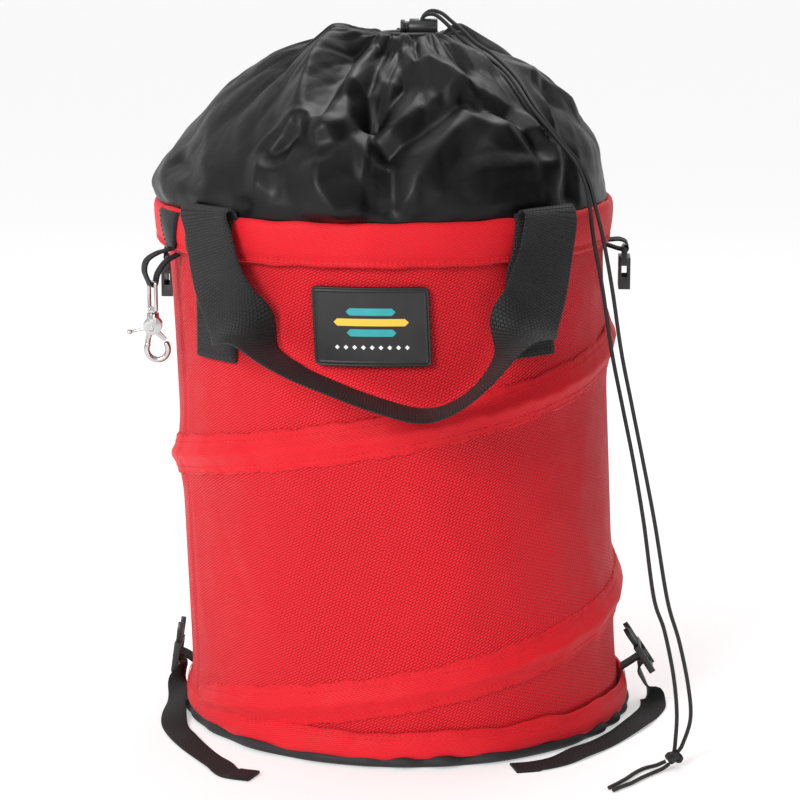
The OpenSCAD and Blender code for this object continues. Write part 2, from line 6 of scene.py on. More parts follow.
import bmesh
import bpy
import numpy as np
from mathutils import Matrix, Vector


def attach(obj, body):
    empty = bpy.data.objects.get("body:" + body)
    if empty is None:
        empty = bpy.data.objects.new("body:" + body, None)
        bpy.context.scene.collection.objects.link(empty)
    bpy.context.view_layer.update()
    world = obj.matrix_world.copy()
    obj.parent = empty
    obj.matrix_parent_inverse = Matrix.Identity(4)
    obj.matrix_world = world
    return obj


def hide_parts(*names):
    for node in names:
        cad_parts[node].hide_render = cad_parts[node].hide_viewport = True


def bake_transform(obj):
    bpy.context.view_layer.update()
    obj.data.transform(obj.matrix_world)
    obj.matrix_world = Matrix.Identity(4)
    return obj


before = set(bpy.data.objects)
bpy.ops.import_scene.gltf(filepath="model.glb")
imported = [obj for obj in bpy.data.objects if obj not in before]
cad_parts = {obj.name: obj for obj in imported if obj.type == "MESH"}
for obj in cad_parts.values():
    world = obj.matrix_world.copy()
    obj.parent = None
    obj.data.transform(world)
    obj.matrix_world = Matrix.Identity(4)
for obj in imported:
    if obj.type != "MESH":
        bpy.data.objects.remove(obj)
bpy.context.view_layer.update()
scene = bpy.context.scene
mm = 0.001

bag = dict(
    height=0.400,
    lean=0.018,  # how far the rim stands to the left of the base
    wallRadius=0.167,
    wallThickness=0.0018,
    spiralStart=0.006,
    spiralPitch=0.192,
    channelTurns=(24, 700),  # degrees along the spiral, counted from the left
    crumple=(0.021, 0.290),  # between these heights the wall folds up as the bag collapses
)


def centreX(z):
    return -bag["lean"] * z / bag["height"]


def onBag(radius, azimuth, z):
    # Works on numbers and on arrays
    x = centreX(z) + radius * np.sin(azimuth)
    return np.stack(np.broadcast_arrays(x, -radius * np.cos(azimuth), z), axis=-1)


# ---- meshes from rows of points ----


def newObject(name, mesh, material=None):
    piece = bpy.data.objects.new(name, mesh)
    scene.collection.objects.link(piece)
    if material:
        mesh.materials.append(material)
    return piece


def buildMesh(name, points, faces, uvs=None, material=None, smooth=True):
    mesh = bpy.data.meshes.new(name)
    mesh.from_pydata([tuple(p) for p in points], [], faces)
    if uvs is not None:
        layer = mesh.uv_layers.new(name="UVMap")
        layer.data.foreach_set("uv", np.asarray(uvs, dtype=np.float32).ravel())
    mesh.polygons.foreach_set("use_smooth", [smooth] * len(mesh.polygons))
    mesh.update()
    return newObject(name, mesh, material)


def gridMesh(name, points, uvs, material, closeRows=False, closeColumns=False, caps=False):
    # points is rows x columns x 3. uvs has one more row or column where the grid closes
    points = np.asarray(points, dtype=float)
    rows, columns = points.shape[:2]
    rowSteps = rows if closeRows else rows - 1
    columnSteps = columns if closeColumns else columns - 1
    faces = []
    corners = []
    for r in range(rowSteps):
        for c in range(columnSteps):
            r2 = (r + 1) % rows
            c2 = (c + 1) % columns
            faces.append((r * columns + c, r * columns + c2, r2 * columns + c2, r2 * columns + c))
            corners += [uvs[r][c], uvs[r][c + 1], uvs[r + 1][c + 1], uvs[r + 1][c]]
    if caps:
        for r, order in ((0, range(columns - 1, -1, -1)), (rows - 1, range(columns))):
            faces.append(tuple(r * columns + c for c in order))
            corners += [uvs[r][c] for c in order]
    return buildMesh(name, points.reshape(-1, 3), faces, corners, material)


def normalsOut(piece):
    edit = bmesh.new()
    edit.from_mesh(piece.data)
    bmesh.ops.recalc_face_normals(edit, faces=edit.faces)
    edit.to_mesh(piece.data)
    edit.free()
    return piece


def applyModifiers(piece):
    # Turns the piece into the plain mesh that its modifiers give
    depsgraph = bpy.context.evaluated_depsgraph_get()
    solid = bpy.data.meshes.new_from_object(piece.evaluated_get(depsgraph), depsgraph=depsgraph)
    old = piece.data
    piece.modifiers.clear()
    piece.data = solid
    solid.name = old.name
    bpy.data.meshes.remove(old)
    return piece


def unit(v):
    return v / np.maximum(np.linalg.norm(v, axis=-1, keepdims=True), 1e-12)


def smoothPath(points, perSpan=6):
    # A curve through the points
    p = np.asarray(points, dtype=float)
    padded = np.vstack([2 * p[0] - p[1], p, 2 * p[-1] - p[-2]])
    out = []
    for i in range(len(p) - 1):
        a, b, c, d = padded[i : i + 4]
        for t in np.linspace(0, 1, perSpan, endpoint=False):
            out.append(
                0.5 * (2 * b + (c - a) * t + (2 * a - 5 * b + 4 * c - d) * t**2
                       + (3 * b - a - 3 * c + d) * t**3)
            )
    out.append(p[-1])
    return np.array(out)


def evenPath(points, step):
    # The same curve with points an equal distance apart
    p = smoothPath(points, 12)
    run = np.concatenate([[0], np.cumsum(np.linalg.norm(np.diff(p, axis=0), axis=1))])
    count = max(3, int(round(run[-1] / step)) + 1)
    at = np.linspace(0, run[-1], count)
    return np.stack([np.interp(at, run, p[:, k]) for k in range(3)], axis=1)


def tangents(p):
    return unit(np.gradient(p, axis=0))


def waves(a, b, seed, count=7, low=1.0, high=3.0):
    # A smooth irregular pattern from -1 to 1 over two coordinates
    random = np.random.default_rng(seed)
    total = 0
    for _ in range(count):
        angle = random.uniform(0, math.pi)
        rate = random.uniform(low, high)
        total = total + np.sin(rate * (a * math.cos(angle) + b * math.sin(angle))
                               + random.uniform(0, 2 * math.pi))
    return total / count * 1.8


def ribbon(name, route, widths, width, thick, material, step=3 * mm, fold=0, sag=0):
    # Flat webbing along a route. widths are directions across it, and fold is the length
    # of a last stretch that is doubled over
    path = smoothPath(route, 10)
    across = smoothPath(widths, 10)
    run = np.concatenate([[0], np.cumsum(np.linalg.norm(np.diff(path, axis=0), axis=1))])
    count = int(run[-1] / step) + 2
    at = np.linspace(0, run[-1], count)
    path = np.stack([np.interp(at, run, path[:, k]) for k in range(3)], axis=1)
    across = np.stack([np.interp(at, run, across[:, k]) for k in range(3)], axis=1)
    for _ in range(6):  # evens out the turn of the webbing
        across[1:-1] = (across[:-2] + 2 * across[1:-1] + across[2:]) / 4
    t = tangents(path)
    n = unit(np.cross(t, across))
    b = unit(np.cross(n, t))
    spread = np.array([-0.5, -0.47, -0.36, -0.2, 0, 0.2, 0.36, 0.47, 0.5])
    rise = np.array([0.12, 0.42, 0.5, 0.5, 0.5, 0.5, 0.5, 0.42, 0.12])
    side = np.concatenate([spread, spread[::-1]])
    lift = np.concatenate([-rise, rise])
    points = np.zeros((count, len(side), 3))
    uvs = np.zeros((count, len(side) + 1, 2))
    for i in range(count):
        doubled = 2.0 if fold and run[-1] - at[i] < fold else 1.0
        bow = sag * (1 - (2 * side) ** 2)
        up = lift * thick * doubled + (thick / 2 * (doubled - 1)) + bow
        points[i] = path[i] + np.outer(side * width, b[i]) + np.outer(up, n[i])
        uvs[i, :-1, 0] = side * width
        uvs[i, -1, 0] = -0.5 * width - 1e-4
        uvs[i, :, 1] = at[i]
    piece = gridMesh(name, points, uvs, material, closeColumns=True, caps=True)
    piece["run"] = float(run[-1])
    return normalsOut(piece)


def tube(name, path, diameter, material, sides=10, closed=False):
    path = np.asarray(path, dtype=float)
    t = tangents(path)
    if closed:
        t = unit(np.roll(path, -1, axis=0) - np.roll(path, 1, axis=0))
    n = np.zeros_like(path)
    n[0] = unit(np.cross(t[0], [0.31, 0.9, 0.3]))
    for i in range(1, len(path)):  # carries the section along without twisting it
        n[i] = unit(n[i - 1] - t[i] * np.dot(n[i - 1], t[i]))
    b = np.cross(t, n)
    angle = np.linspace(0, 2 * math.pi, sides, endpoint=False)
    ring = np.cos(angle)[None, :, None] * n[:, None] + np.sin(angle)[None, :, None] * b[:, None]
    points = path[:, None] + ring * diameter / 2
    run = np.concatenate([[0], np.cumsum(np.linalg.norm(np.diff(path, axis=0), axis=1))])
    rows = len(path) + (1 if closed else 0)
    uvs = np.zeros((rows, sides + 1, 2))
    uvs[:, :, 0] = np.linspace(0, math.pi * diameter, sides + 1)[None]
    uvs[: len(path), :, 1] = run[:, None]
    if closed:
        uvs[-1, :, 1] = run[-1] + run[1]
    piece = gridMesh(name, points, uvs, material, closeRows=closed, closeColumns=True,
                     caps=not closed)
    return normalsOut(piece)


def place(piece, body, slot, nodes=()):
    # "between" is the cloth between the base and the rim, which crumples on the real bag; here it
    # is baked where it is built, on no body
    if body == "between":
        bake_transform(piece)
    else:
        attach(piece, body)
    if nodes:
        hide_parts(*nodes)
    return piece


# ---- materials ----


def newMaterial(name, color, roughness, **sockets):
    material = bpy.data.materials.new(name)
    material.use_nodes = True
    shader = material.node_tree.nodes["Principled BSDF"]
    shader.inputs["Base Color"].default_value = (*color, 1)
    shader.inputs["Roughness"].default_value = roughness
    for socket, value in sockets.items():
        shader.inputs[socket.replace("_", " ")].default_value = value
    return material, material.node_tree, shader


def addNode(tree, kind, links=(), **settings):
    node = tree.nodes.new(kind)
    for key, value in settings.items():
        setattr(node, key, value)
    for socket, value in links:
        if isinstance(value, bpy.types.NodeSocket):
            tree.links.new(value, node.inputs[socket])
        else:
            node.inputs[socket].default_value = value
    return node


def mixColors(tree, factor, first, second, blend="MIX"):
    node = tree.nodes.new("ShaderNodeMix")
    node.data_type = "RGBA"
    node.blend_type = blend
    for index, value in ((0, factor), (6, first), (7, second)):
        if isinstance(value, bpy.types.NodeSocket):
            tree.links.new(value, node.inputs[index])
        else:
            node.inputs[index].default_value = value
    return node.outputs[2]


def uvInMillimetres(tree, turn=0.0):
    source = addNode(tree, "ShaderNodeUVMap")
    mapped = addNode(tree, "ShaderNodeMapping", [
        ("Vector", source.outputs["UV"]), ("Rotation", (0, 0, math.radians(turn))),
        ("Scale", (1000, 1000, 1000))])
    return mapped.outputs["Vector"]


def objectNoise(tree, scale, detail=3.0):
    place = addNode(tree, "ShaderNodeTexCoord")
    return addNode(tree, "ShaderNodeTexNoise", [
        ("Vector", place.outputs["Object"]), ("Scale", scale), ("Detail", detail)]).outputs["Fac"]


def levels(tree, value, low, high, lowTo=0.0, highTo=1.0):
    return addNode(tree, "ShaderNodeMapRange", [
        ("Value", value), ("From Min", low), ("From Max", high), ("To Min", lowTo),
        ("To Max", highTo)]).outputs["Result"]


def calculate(tree, operation, first, second=0.0):
    return addNode(tree, "ShaderNodeMath", [(0, first), (1, second)],
                   operation=operation).outputs[0]


def addBump(tree, shader, height, strength, distance, under=None):
    links = [("Height", height), ("Strength", strength), ("Distance", distance)]
    if under:
        links.append(("Normal", under))
    bump = addNode(tree, "ShaderNodeBump", links)
    tree.links.new(bump.outputs["Normal"], shader.inputs["Normal"])
    return bump.outputs["Normal"]


def wovenMaterial(name, light, dark, weave, roughness, **sockets):
    # Short raised threads in offset rows, with darker gaps between them
    material, tree, shader = newMaterial(name, light, roughness, **sockets)
    where = uvInMillimetres(tree, weave["turn"])
    threads = addNode(tree, "ShaderNodeTexBrick", [
        ("Vector", where), ("Scale", 1.0), ("Mortar Size", weave["gap"]),
        ("Mortar Smooth", 1.0), ("Brick Width", weave["length"]),
        ("Row Height", weave["row"])], offset=0.5)
    gap = threads.outputs["Fac"]
    # Each thread fades to the next by a little
    mottle = levels(tree, objectNoise(tree, weave["mottleScale"], 4.0), 0.3, 0.7,
                    1 - weave["mottle"], 1 + weave["mottle"])
    shade = levels(tree, gap, 0, 1, 0, weave["contrast"])
    color = mixColors(tree, shade, (*light, 1), (*dark, 1))
    color = mixColors(tree, 1.0, color, addNode(tree, "ShaderNodeCombineColor", [
        ("Red", mottle), ("Green", mottle), ("Blue", mottle)]).outputs["Color"], "MULTIPLY")
    tree.links.new(color, shader.inputs["Base Color"])
    rub = levels(tree, objectNoise(tree, 45.0, 5.0), 0.35, 0.7, roughness - 0.06, roughness + 0.08)
    tree.links.new(rub, shader.inputs["Roughness"])
    soft = addBump(tree, shader, objectNoise(tree, weave["slackScale"], 4.0), 0.25,
                   weave["slack"])
    height = calculate(tree, "SUBTRACT", 1.0, gap)
    addBump(tree, shader, height, weave["strength"], weave["relief"], soft)
    return material


redCloth = wovenMaterial(
    "redPackCloth", (0.80, 0.012, 0.024), (0.25, 0.001, 0.004),
    dict(turn=-27, length=3.6, row=1.8, gap=0.42, contrast=1.0, mottle=0.07, mottleScale=7.0,
         slackScale=45.0, slack=0.0016, strength=0.8, relief=0.0007),
    0.62, Sheen_Weight=0.05, Sheen_Roughness=0.45, Specular_IOR_Level=0.22)
redTape = wovenMaterial(
    "redBindingCloth", (0.74, 0.008, 0.018), (0.34, 0.002, 0.006),
    dict(turn=-12, length=2.6, row=1.5, gap=0.3, contrast=0.65, mottle=0.06, mottleScale=9.0,
         slackScale=70.0, slack=0.0010, strength=0.5, relief=0.0004),
    0.6, Sheen_Weight=0.06, Sheen_Roughness=0.45, Specular_IOR_Level=0.24)
collarCloth = wovenMaterial(
    "blackCoatedNylon", (0.0050, 0.0048, 0.0052), (0.0022, 0.0022, 0.0025),
    dict(turn=40, length=1.5, row=0.8, gap=0.16, contrast=0.5, mottle=0.12, mottleScale=12.0,
         slackScale=70.0, slack=0.0024, strength=0.3, relief=0.0002),
    0.36, Sheen_Weight=0.0, Specular_IOR_Level=0.22)
baseCloth = wovenMaterial(
    "blackBaseCloth", (0.018, 0.018, 0.020), (0.007, 0.007, 0.008),
    dict(turn=45, length=2.4, row=1.3, gap=0.3, contrast=0.7, mottle=0.1, mottleScale=20.0,
         slackScale=80.0, slack=0.0008, strength=0.5, relief=0.0004),
    0.6, Specular_IOR_Level=0.4)


def webbingMaterial(name, rib, thread, light, dark):
    # Crosswise ribs, each broken into the lengthwise threads that pass over it
    material, tree, shader = newMaterial(name, light, 0.6, Specular_IOR_Level=0.26,
                                         Sheen_Weight=0.04, Sheen_Roughness=0.4)
    where = uvInMillimetres(tree)
    threads = addNode(tree, "ShaderNodeTexBrick", [
        ("Vector", where), ("Scale", 1.0), ("Mortar Size", rib * 0.26), ("Mortar Smooth", 1.0),
        ("Brick Width", thread), ("Row Height", rib)], offset=0.5)
    gap = threads.outputs["Fac"]
    parts = addNode(tree, "ShaderNodeSeparateXYZ", [("Vector", where)])
    wave = calculate(tree, "SINE", calculate(tree, "MULTIPLY", parts.outputs["Y"],
                                             2 * math.pi / rib))
    height = calculate(tree, "ADD", calculate(tree, "SUBTRACT", 1.0, gap),
                       calculate(tree, "MULTIPLY", wave, 0.35))
    color = mixColors(tree, levels(tree, gap, 0, 1, 0, 0.8), (*light, 1), (*dark, 1))
    dusty = levels(tree, objectNoise(tree, 30.0, 4.0), 0.35, 0.75, 0.0, 0.35)
    color = mixColors(tree, dusty, color, (light[0] * 1.7, light[1] * 1.7, light[2] * 1.7, 1))
    tree.links.new(color, shader.inputs["Base Color"])
    addBump(tree, shader, height, 1.0, 0.0008)
    return material


handleWebbing = webbingMaterial("handleWebbing", 2.1, 3.2, (0.022, 0.022, 0.022),
                                (0.002, 0.002, 0.002))
strapWebbing = webbingMaterial("strapWebbing", 1.5, 2.0, (0.015, 0.015, 0.016),
                               (0.004, 0.004, 0.004))


def braidMaterial(name, light, dark, pitch):
    # Two sets of slanting strands that cross over each other
    material, tree, shader = newMaterial(name, light, 0.5, Specular_IOR_Level=0.45)
    where = addNode(tree, "ShaderNodeSeparateXYZ", [("Vector", uvInMillimetres(tree))])
    up = calculate(tree, "MULTIPLY", where.outputs["Y"], 2 * math.pi / pitch)
    around = calculate(tree, "MULTIPLY", where.outputs["X"], 2 * math.pi / (3 * math.pi / 4))
    one = calculate(tree, "SINE", calculate(tree, "ADD", up, around))
    other = calculate(tree, "SINE", calculate(tree, "SUBTRACT", up, around))
    height = calculate(tree, "MULTIPLY", one, other)
    tone = levels(tree, height, -1, 1, 0, 1)
    tree.links.new(mixColors(tree, tone, (*dark, 1), (*light, 1)), shader.inputs["Base Color"])
    addBump(tree, shader, height, 0.7, 0.0003)
    return material


cordBraid = braidMaterial("drawcordBraid", (0.018, 0.018, 0.019), (0.005, 0.005, 0.005), 2.2)


def grainMaterial(name, color, roughness, grain, relief, spread=0.08, **sockets):
    # A moulded, cast or drawn surface: fine grain, and gloss that varies a little
    material, tree, shader = newMaterial(name, color, roughness, **sockets)
    fine = objectNoise(tree, grain, 6.0)
    rub = levels(tree, objectNoise(tree, grain / 9, 4.0), 0.3, 0.7, roughness - spread,
                 roughness + spread)
    tree.links.new(rub, shader.inputs["Roughness"])
    worn = levels(tree, objectNoise(tree, grain / 14, 3.0), 0.45, 0.75, 0.0, 0.45)
    lighter = tuple(min(1, c * 1.35 + 0.004) for c in color)
    tree.links.new(mixColors(tree, worn, (*color, 1), (*lighter, 1)),
                   shader.inputs["Base Color"])
    addBump(tree, shader, fine, 0.3, relief)
    return material


bucklePlastic = grainMaterial("bucklePlastic", (0.016, 0.016, 0.017), 0.4, 900.0, 0.00008,
                              Specular_IOR_Level=0.5)
labelRubber = grainMaterial("labelRubber", (0.012, 0.012, 0.013), 0.5, 700.0, 0.00010,
                            Specular_IOR_Level=0.45)
snapChrome = grainMaterial("snapChrome", (0.50, 0.49, 0.48), 0.16, 260.0, 0.00005, 0.05,
                           Metallic=1.0)
springSteel = grainMaterial("springSteel", (0.5, 0.5, 0.51), 0.3, 400.0, 0.00005,
                            Metallic=1.0)
threadRed = grainMaterial("redThread", (0.62, 0.01, 0.016), 0.6, 1500.0, 0.0001)
threadBlack = grainMaterial("blackThread", (0.02, 0.02, 0.02), 0.6, 1500.0, 0.0001)
printTeal = grainMaterial("labelTeal", (0.02, 0.33, 0.36), 0.45, 700.0, 0.00006)
printYellow = grainMaterial("labelYellow", (0.80, 0.52, 0.05), 0.45, 700.0, 0.00006)
printWhite = grainMaterial("labelWhite", (0.80, 0.80, 0.78), 0.45, 700.0, 0.00006)
print("materials made")

# ---- stitches ----


def stitchTree():
    # Lays short thread capsules along a line of edges
    tree = bpy.data.node_groups.new("stitchRows", "GeometryNodeTree")
    face = tree.interface
    face.new_socket("Geometry", in_out="INPUT", socket_type="NodeSocketGeometry")
    for name, value in (("Spacing", 0.0042), ("Stitch Length", 0.0031), ("Thread", 0.00035)):
        socket = face.new_socket(name, in_out="INPUT", socket_type="NodeSocketFloat")
        socket.default_value = value
    face.new_socket("Material", in_out="INPUT", socket_type="NodeSocketMaterial")
    face.new_socket("Geometry", in_out="OUTPUT", socket_type="NodeSocketGeometry")
    start = tree.nodes.new("NodeGroupInput")
    end = tree.nodes.new("NodeGroupOutput")
    link = tree.links.new
    line = tree.nodes.new("GeometryNodeMeshToCurve")
    link(start.outputs["Geometry"], line.inputs["Mesh"])
    points = tree.nodes.new("GeometryNodeCurveToPoints")
    points.mode = "LENGTH"
    link(line.outputs["Curve"], points.inputs["Curve"])
    link(start.outputs["Spacing"], points.inputs["Length"])
    thread = tree.nodes.new("GeometryNodeMeshIcoSphere")
    thread.inputs["Subdivisions"].default_value = 1
    thread.inputs["Radius"].default_value = 1.0
    align = tree.nodes.new("FunctionNodeAlignRotationToVector")
    align.axis = "X"
    link(points.outputs["Tangent"], align.inputs["Vector"])
    halfLength = tree.nodes.new("ShaderNodeMath")
    halfLength.operation = "MULTIPLY"
    halfLength.inputs[1].default_value = 0.5
    link(start.outputs["Stitch Length"], halfLength.inputs[0])
    scale = tree.nodes.new("ShaderNodeCombineXYZ")
    link(halfLength.outputs[0], scale.inputs["X"])
    link(start.outputs["Thread"], scale.inputs["Y"])
    link(start.outputs["Thread"], scale.inputs["Z"])
    lay = tree.nodes.new("GeometryNodeInstanceOnPoints")
    link(points.outputs["Points"], lay.inputs["Points"])
    link(thread.outputs["Mesh"], lay.inputs["Instance"])
    link(align.outputs["Rotation"], lay.inputs["Rotation"])
    link(scale.outputs["Vector"], lay.inputs["Scale"])
    real = tree.nodes.new("GeometryNodeRealizeInstances")
    link(lay.outputs["Instances"], real.inputs["Geometry"])
    paint = tree.nodes.new("GeometryNodeSetMaterial")
    link(real.outputs["Geometry"], paint.inputs["Geometry"])
    link(start.outputs["Material"], paint.inputs["Material"])
    link(paint.outputs["Geometry"], end.inputs["Geometry"])
    return tree


stitching = stitchTree()


def stitches(name, lines, material, spacing=0.0042, length=0.0031, thread=0.00036):
    # lines are lists of points that the thread runs along
    points = []
    edges = []
    for line in lines:
        first = len(points)
        points += [tuple(p) for p in line]
        edges += [(first + k, first + k + 1) for k in range(len(line) - 1)]
    mesh = bpy.data.meshes.new(name)
    mesh.from_pydata(points, edges, [])
    piece = newObject(name, mesh)
    modifier = piece.modifiers.new("Stitches", "NODES")
    modifier.node_group = stitching
    values = {"Spacing": spacing, "Stitch Length": length, "Thread": thread,
              "Material": material}
    for item in stitching.interface.items_tree:
        if item.in_out == "INPUT" and item.name in values:
            modifier[item.identifier] = values[item.name]
    applyModifiers(piece)
    piece.data.polygons.foreach_set("use_smooth", [True] * len(piece.data.polygons))
    return piece


# ---- camera ----

camera = dict(
    lens=121.8,
    place=(0.1206, -2.0585, 0.644),
    turn=math.radians(3.5),
    down=0.193,
)


def addCamera():
    data = bpy.data.cameras.new("camera")
    data.lens = camera["lens"]
    data.sensor_width = 36
    eye = bpy.data.objects.new("camera", data)
    forward = Vector((-math.sin(camera["turn"]) * math.cos(camera["down"]),
                      math.cos(camera["turn"]) * math.cos(camera["down"]),
                      -math.sin(camera["down"])))
    eye.location = camera["place"]
    eye.rotation_euler = forward.to_track_quat("-Z", "Y").to_euler()
    scene.collection.objects.link(eye)
    scene.camera = eye


addCamera()

# ---- drawcord ----

drawcord = dict(
    diameter=0.003,
    left=[[11, -1.7, 522.2], [11, -1.7, 531], [12, -1.8, 535.5], [16, -2.5, 538],
          [22, -4, 537.5], [30, -8, 531.5], [40, -14, 522], [50, -20, 514], [62, -33, 508],
          [78, -54, 496.5], [95, -77, 475], [111, -83, 456], [127, -84, 437], [135, -84, 421],
          [138.5, -86, 405], [142, -95, 380], [149, -101, 344], [156, -107, 300],
          [164, -113, 262], [173, -119, 220], [181, -125, 176], [189, -133, 122],
          [197, -136, 98], [204, -141, 66], [207, -145, 38], [206, -150, 16],
          [205.3, -153.5, 11.5]],
    right=[[11, 1.7, 522.2], [11, 1.7, 531], [12.3, 1.6, 536.5], [18, 1, 540.5],
           [26, -2, 539], [34, -6, 533], [43, -11, 526], [53, -17, 517], [66, -27, 509.5],
           [84, -50, 494], [100, -73, 472], [116, -80, 452], [131, -80, 434],
           [138.5, -80.5, 419], [143, -82, 403], [149, -92, 380], [156, -100, 344],
           [163, -106, 300], [171, -112, 262], [180, -119, 220], [189, -125, 176],
           [199, -133, 120], [208, -137, 90], [215, -142, 58], [217, -146, 34],
           [211, -151, 15], [207.5, -154, 11]],
    knot=(205, -156, 7.3),
    leftTail=[[199, -158, 5], [192, -160, 2.4], [184, -165, 1.9], [177, -175, 1.9],
              [170, -189, 1.9], [163, -201, 1.9], [157, -210, 1.9]],
    rightTail=[[201, -162, 4], [196, -168, 2.4], [188, -177, 1.9], [180, -188, 1.9],
               [173, -199, 1.9], [166, -207, 1.9], [160, -215, 1.9]],
)


def addCord(name, route, node):
    path = evenPath(np.array(route) * mm, 2.5 * mm)
    piece = tube(name, path, drawcord["diameter"], cordBraid, 10)
    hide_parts(node)
    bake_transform(piece)
    return piece


def addKnot():
    # Two strands tied in one overhand knot: a pair of close turns round a core
    centre = np.array(drawcord["knot"]) * mm
    t = np.linspace(0, 2 * math.pi, 97)[:-1]
    for k, shift in enumerate((0.0, math.pi / 3)):
        x = (np.sin(t + shift) + 2 * np.sin(2 * t + shift)) / 3
        y = (np.cos(t + shift) - 2 * np.cos(2 * t + shift)) / 3
        z = -np.sin(3 * t + shift) / 3
        loop = np.stack([x * 5.6, y * 5.0, z * 6.0 + (1 if k else -0.6)], axis=1) * mm + centre
        piece = tube("drawcordKnot" + "AB"[k], loop, drawcord["diameter"] * 1.02, cordBraid, 10,
                     closed=True)
        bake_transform(piece)
        if not k:
            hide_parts("drawcord_knot")


addCord("drawcordLeft", drawcord["left"], "drawcord_left")
addCord("drawcordRight", drawcord["right"], "drawcord_right")
addKnot()
addCord("drawcordLeftTail", drawcord["leftTail"], "drawcord_left_tail")
addCord("drawcordRightTail", drawcord["rightTail"], "drawcord_right_tail")
print("drawcord laid")

# ---- bag wall ----

wall = dict(
    foot=0.0035,
    top=0.3925,
    columns=360,
    rows=110,
    wireBulge=0.0024,  # how far the spring pushes the cloth out
    bulgeReach=0.020,
    slackDepth=0.0016,  # how far the cloth pulls in between the turns
    wrinkle=0.0013,
    pucker=0.0006,
    seamAt=math.radians(-69),
    # Soft creases: azimuth and height of each point, then lift and reach in millimetres
    creases=[
        ([(-37, 200), (-41, 155), (-35, 122), (-29, 96)], 1.7, 17),
        ([(-52, 190), (-46, 150), (-38, 112)], -1.3, 13),
        ([(-66, 200), (-63, 130), (-60, 70)], 1.2, 12),
        ([(-12, 205), (-14, 175), (-18, 150)], -1.3, 11),
        ([(6, 215), (22, 150), (18, 95)], 1.3, 24),
        ([(45, 235), (38, 180), (46, 120)], -1.4, 18),
        ([(64, 240), (58, 170), (66, 110)], 1.4, 17),
        ([(-20, 350), (-28, 300), (-20, 262)], 1.2, 18),
        ([(30, 350), (34, 310), (24, 280)], -1.2, 15),
        ([(66, 345), (60, 310)], 1.2, 16),
        ([(120, 330), (112, 250), (126, 160)], 1.6, 22),
        ([(160, 300), (170, 220), (158, 120)], -1.5, 20),
        ([(205, 320), (196, 230), (210, 120)], 1.6, 22),
        ([(250, 300), (258, 200), (246, 90)], -1.4, 18),
    ],
)


def spiralZ(turn):
    return bag["spiralStart"] + bag["spiralPitch"] * turn / 360


def wallRadius(azimuth, z):
    # The cloth stands out over the spring and pulls in between its turns
    turn = np.degrees(azimuth) % 360
    turn = (turn + 90) % 360
    first, last = bag["channelTurns"]
    out = np.zeros(np.broadcast(azimuth, z).shape)
    ripple = np.zeros_like(out)
    for lap in (0, 360, 720):
        live = ((turn + lap >= first - 10) & (turn + lap <= last + 10)).astype(float)
        away = np.abs(z - spiralZ(turn + lap))
        out = out + live * wall["wireBulge"] * np.exp(-((away / wall["bulgeReach"]) ** 2))
        edge = np.maximum(away - 0.015, 0)
        ripple = ripple + live * np.exp(-edge / 0.014)
    band = np.exp(-np.maximum(0.372 - z, 0) / 0.02) + np.exp(-np.maximum(z - 0.028, 0) / 0.018)
    around = azimuth * bag["wallRadius"]
    long = waves(around / 0.021, z / 0.075, 3, 9, 0.6, 1.9)
    broad = waves(around / 0.07, z / 0.09, 8, 7, 0.7, 1.7)
    tiny = waves(around / 0.0075, z / 0.05, 5, 9, 0.6, 1.6)
    slack = np.clip(1 - out / wall["wireBulge"], 0, 1) * np.clip(1 - band, 0, 1)
    radius = bag["wallRadius"] + out - slack * wall["slackDepth"]
    radius = radius + wall["wrinkle"] * (0.45 + 0.55 * slack) * (0.75 * broad + 0.5 * long)
    radius = radius + wall["pucker"] * tiny * np.clip(ripple + band, 0, 1)
    for line, lift, reach in wall["creases"]:
        for (a, za), (b, zb) in zip(line[:-1], line[1:]):
            spanX, spanZ = math.radians(b - a) * bag["wallRadius"], (zb - za) * mm
            turned = (azimuth - math.radians(a) + math.pi) % (2 * math.pi) - math.pi
            x, y = turned * bag["wallRadius"], z - za * mm
            t = np.clip((x * spanX + y * spanZ) / (spanX**2 + spanZ**2), 0, 1)
            off = np.hypot(x - t * spanX, y - t * spanZ) / (reach * mm)
            ends = 0.5 + 0.5 * np.minimum(1, 4 * t * (1 - t))
            radius = radius + 0.6 * lift * mm * ends * np.exp(-(off**1.4) * 2.2)
    for at in (wall["seamAt"], wall["seamAt"] + math.pi):
        off = np.abs((azimuth - at + math.pi) % (2 * math.pi) - math.pi) * bag["wallRadius"]
        radius = radius + 0.0009 * np.exp(-((off / 0.0055) ** 6)) - 0.0006 * np.exp(
            -(((off - 0.0072) / 0.0016) ** 2))
    return radius


def channelLift(azimuth, z):
    # How far the sewn channel stands off the wall here
    turn = (np.degrees(azimuth) + 90) % 360
    first, last = bag["channelTurns"]
    half = channel["height"] / 2
    out = np.zeros(np.broadcast(azimuth, z).shape)
    for lap in (0, 360, 720):
        live = (turn + lap >= first - 3) & (turn + lap <= last + 3)
        away = np.abs(z - spiralZ(turn + lap)) / half
        lift = np.interp(away, [0, 0.12, 0.3, 0.55, 0.8, 1.02, 1.08],
                         [4.7, 4.4, 3.0, 1.85, 1.35, 1.1, 0]) * mm
        out = np.maximum(out, np.where(live, lift, 0))
    return out


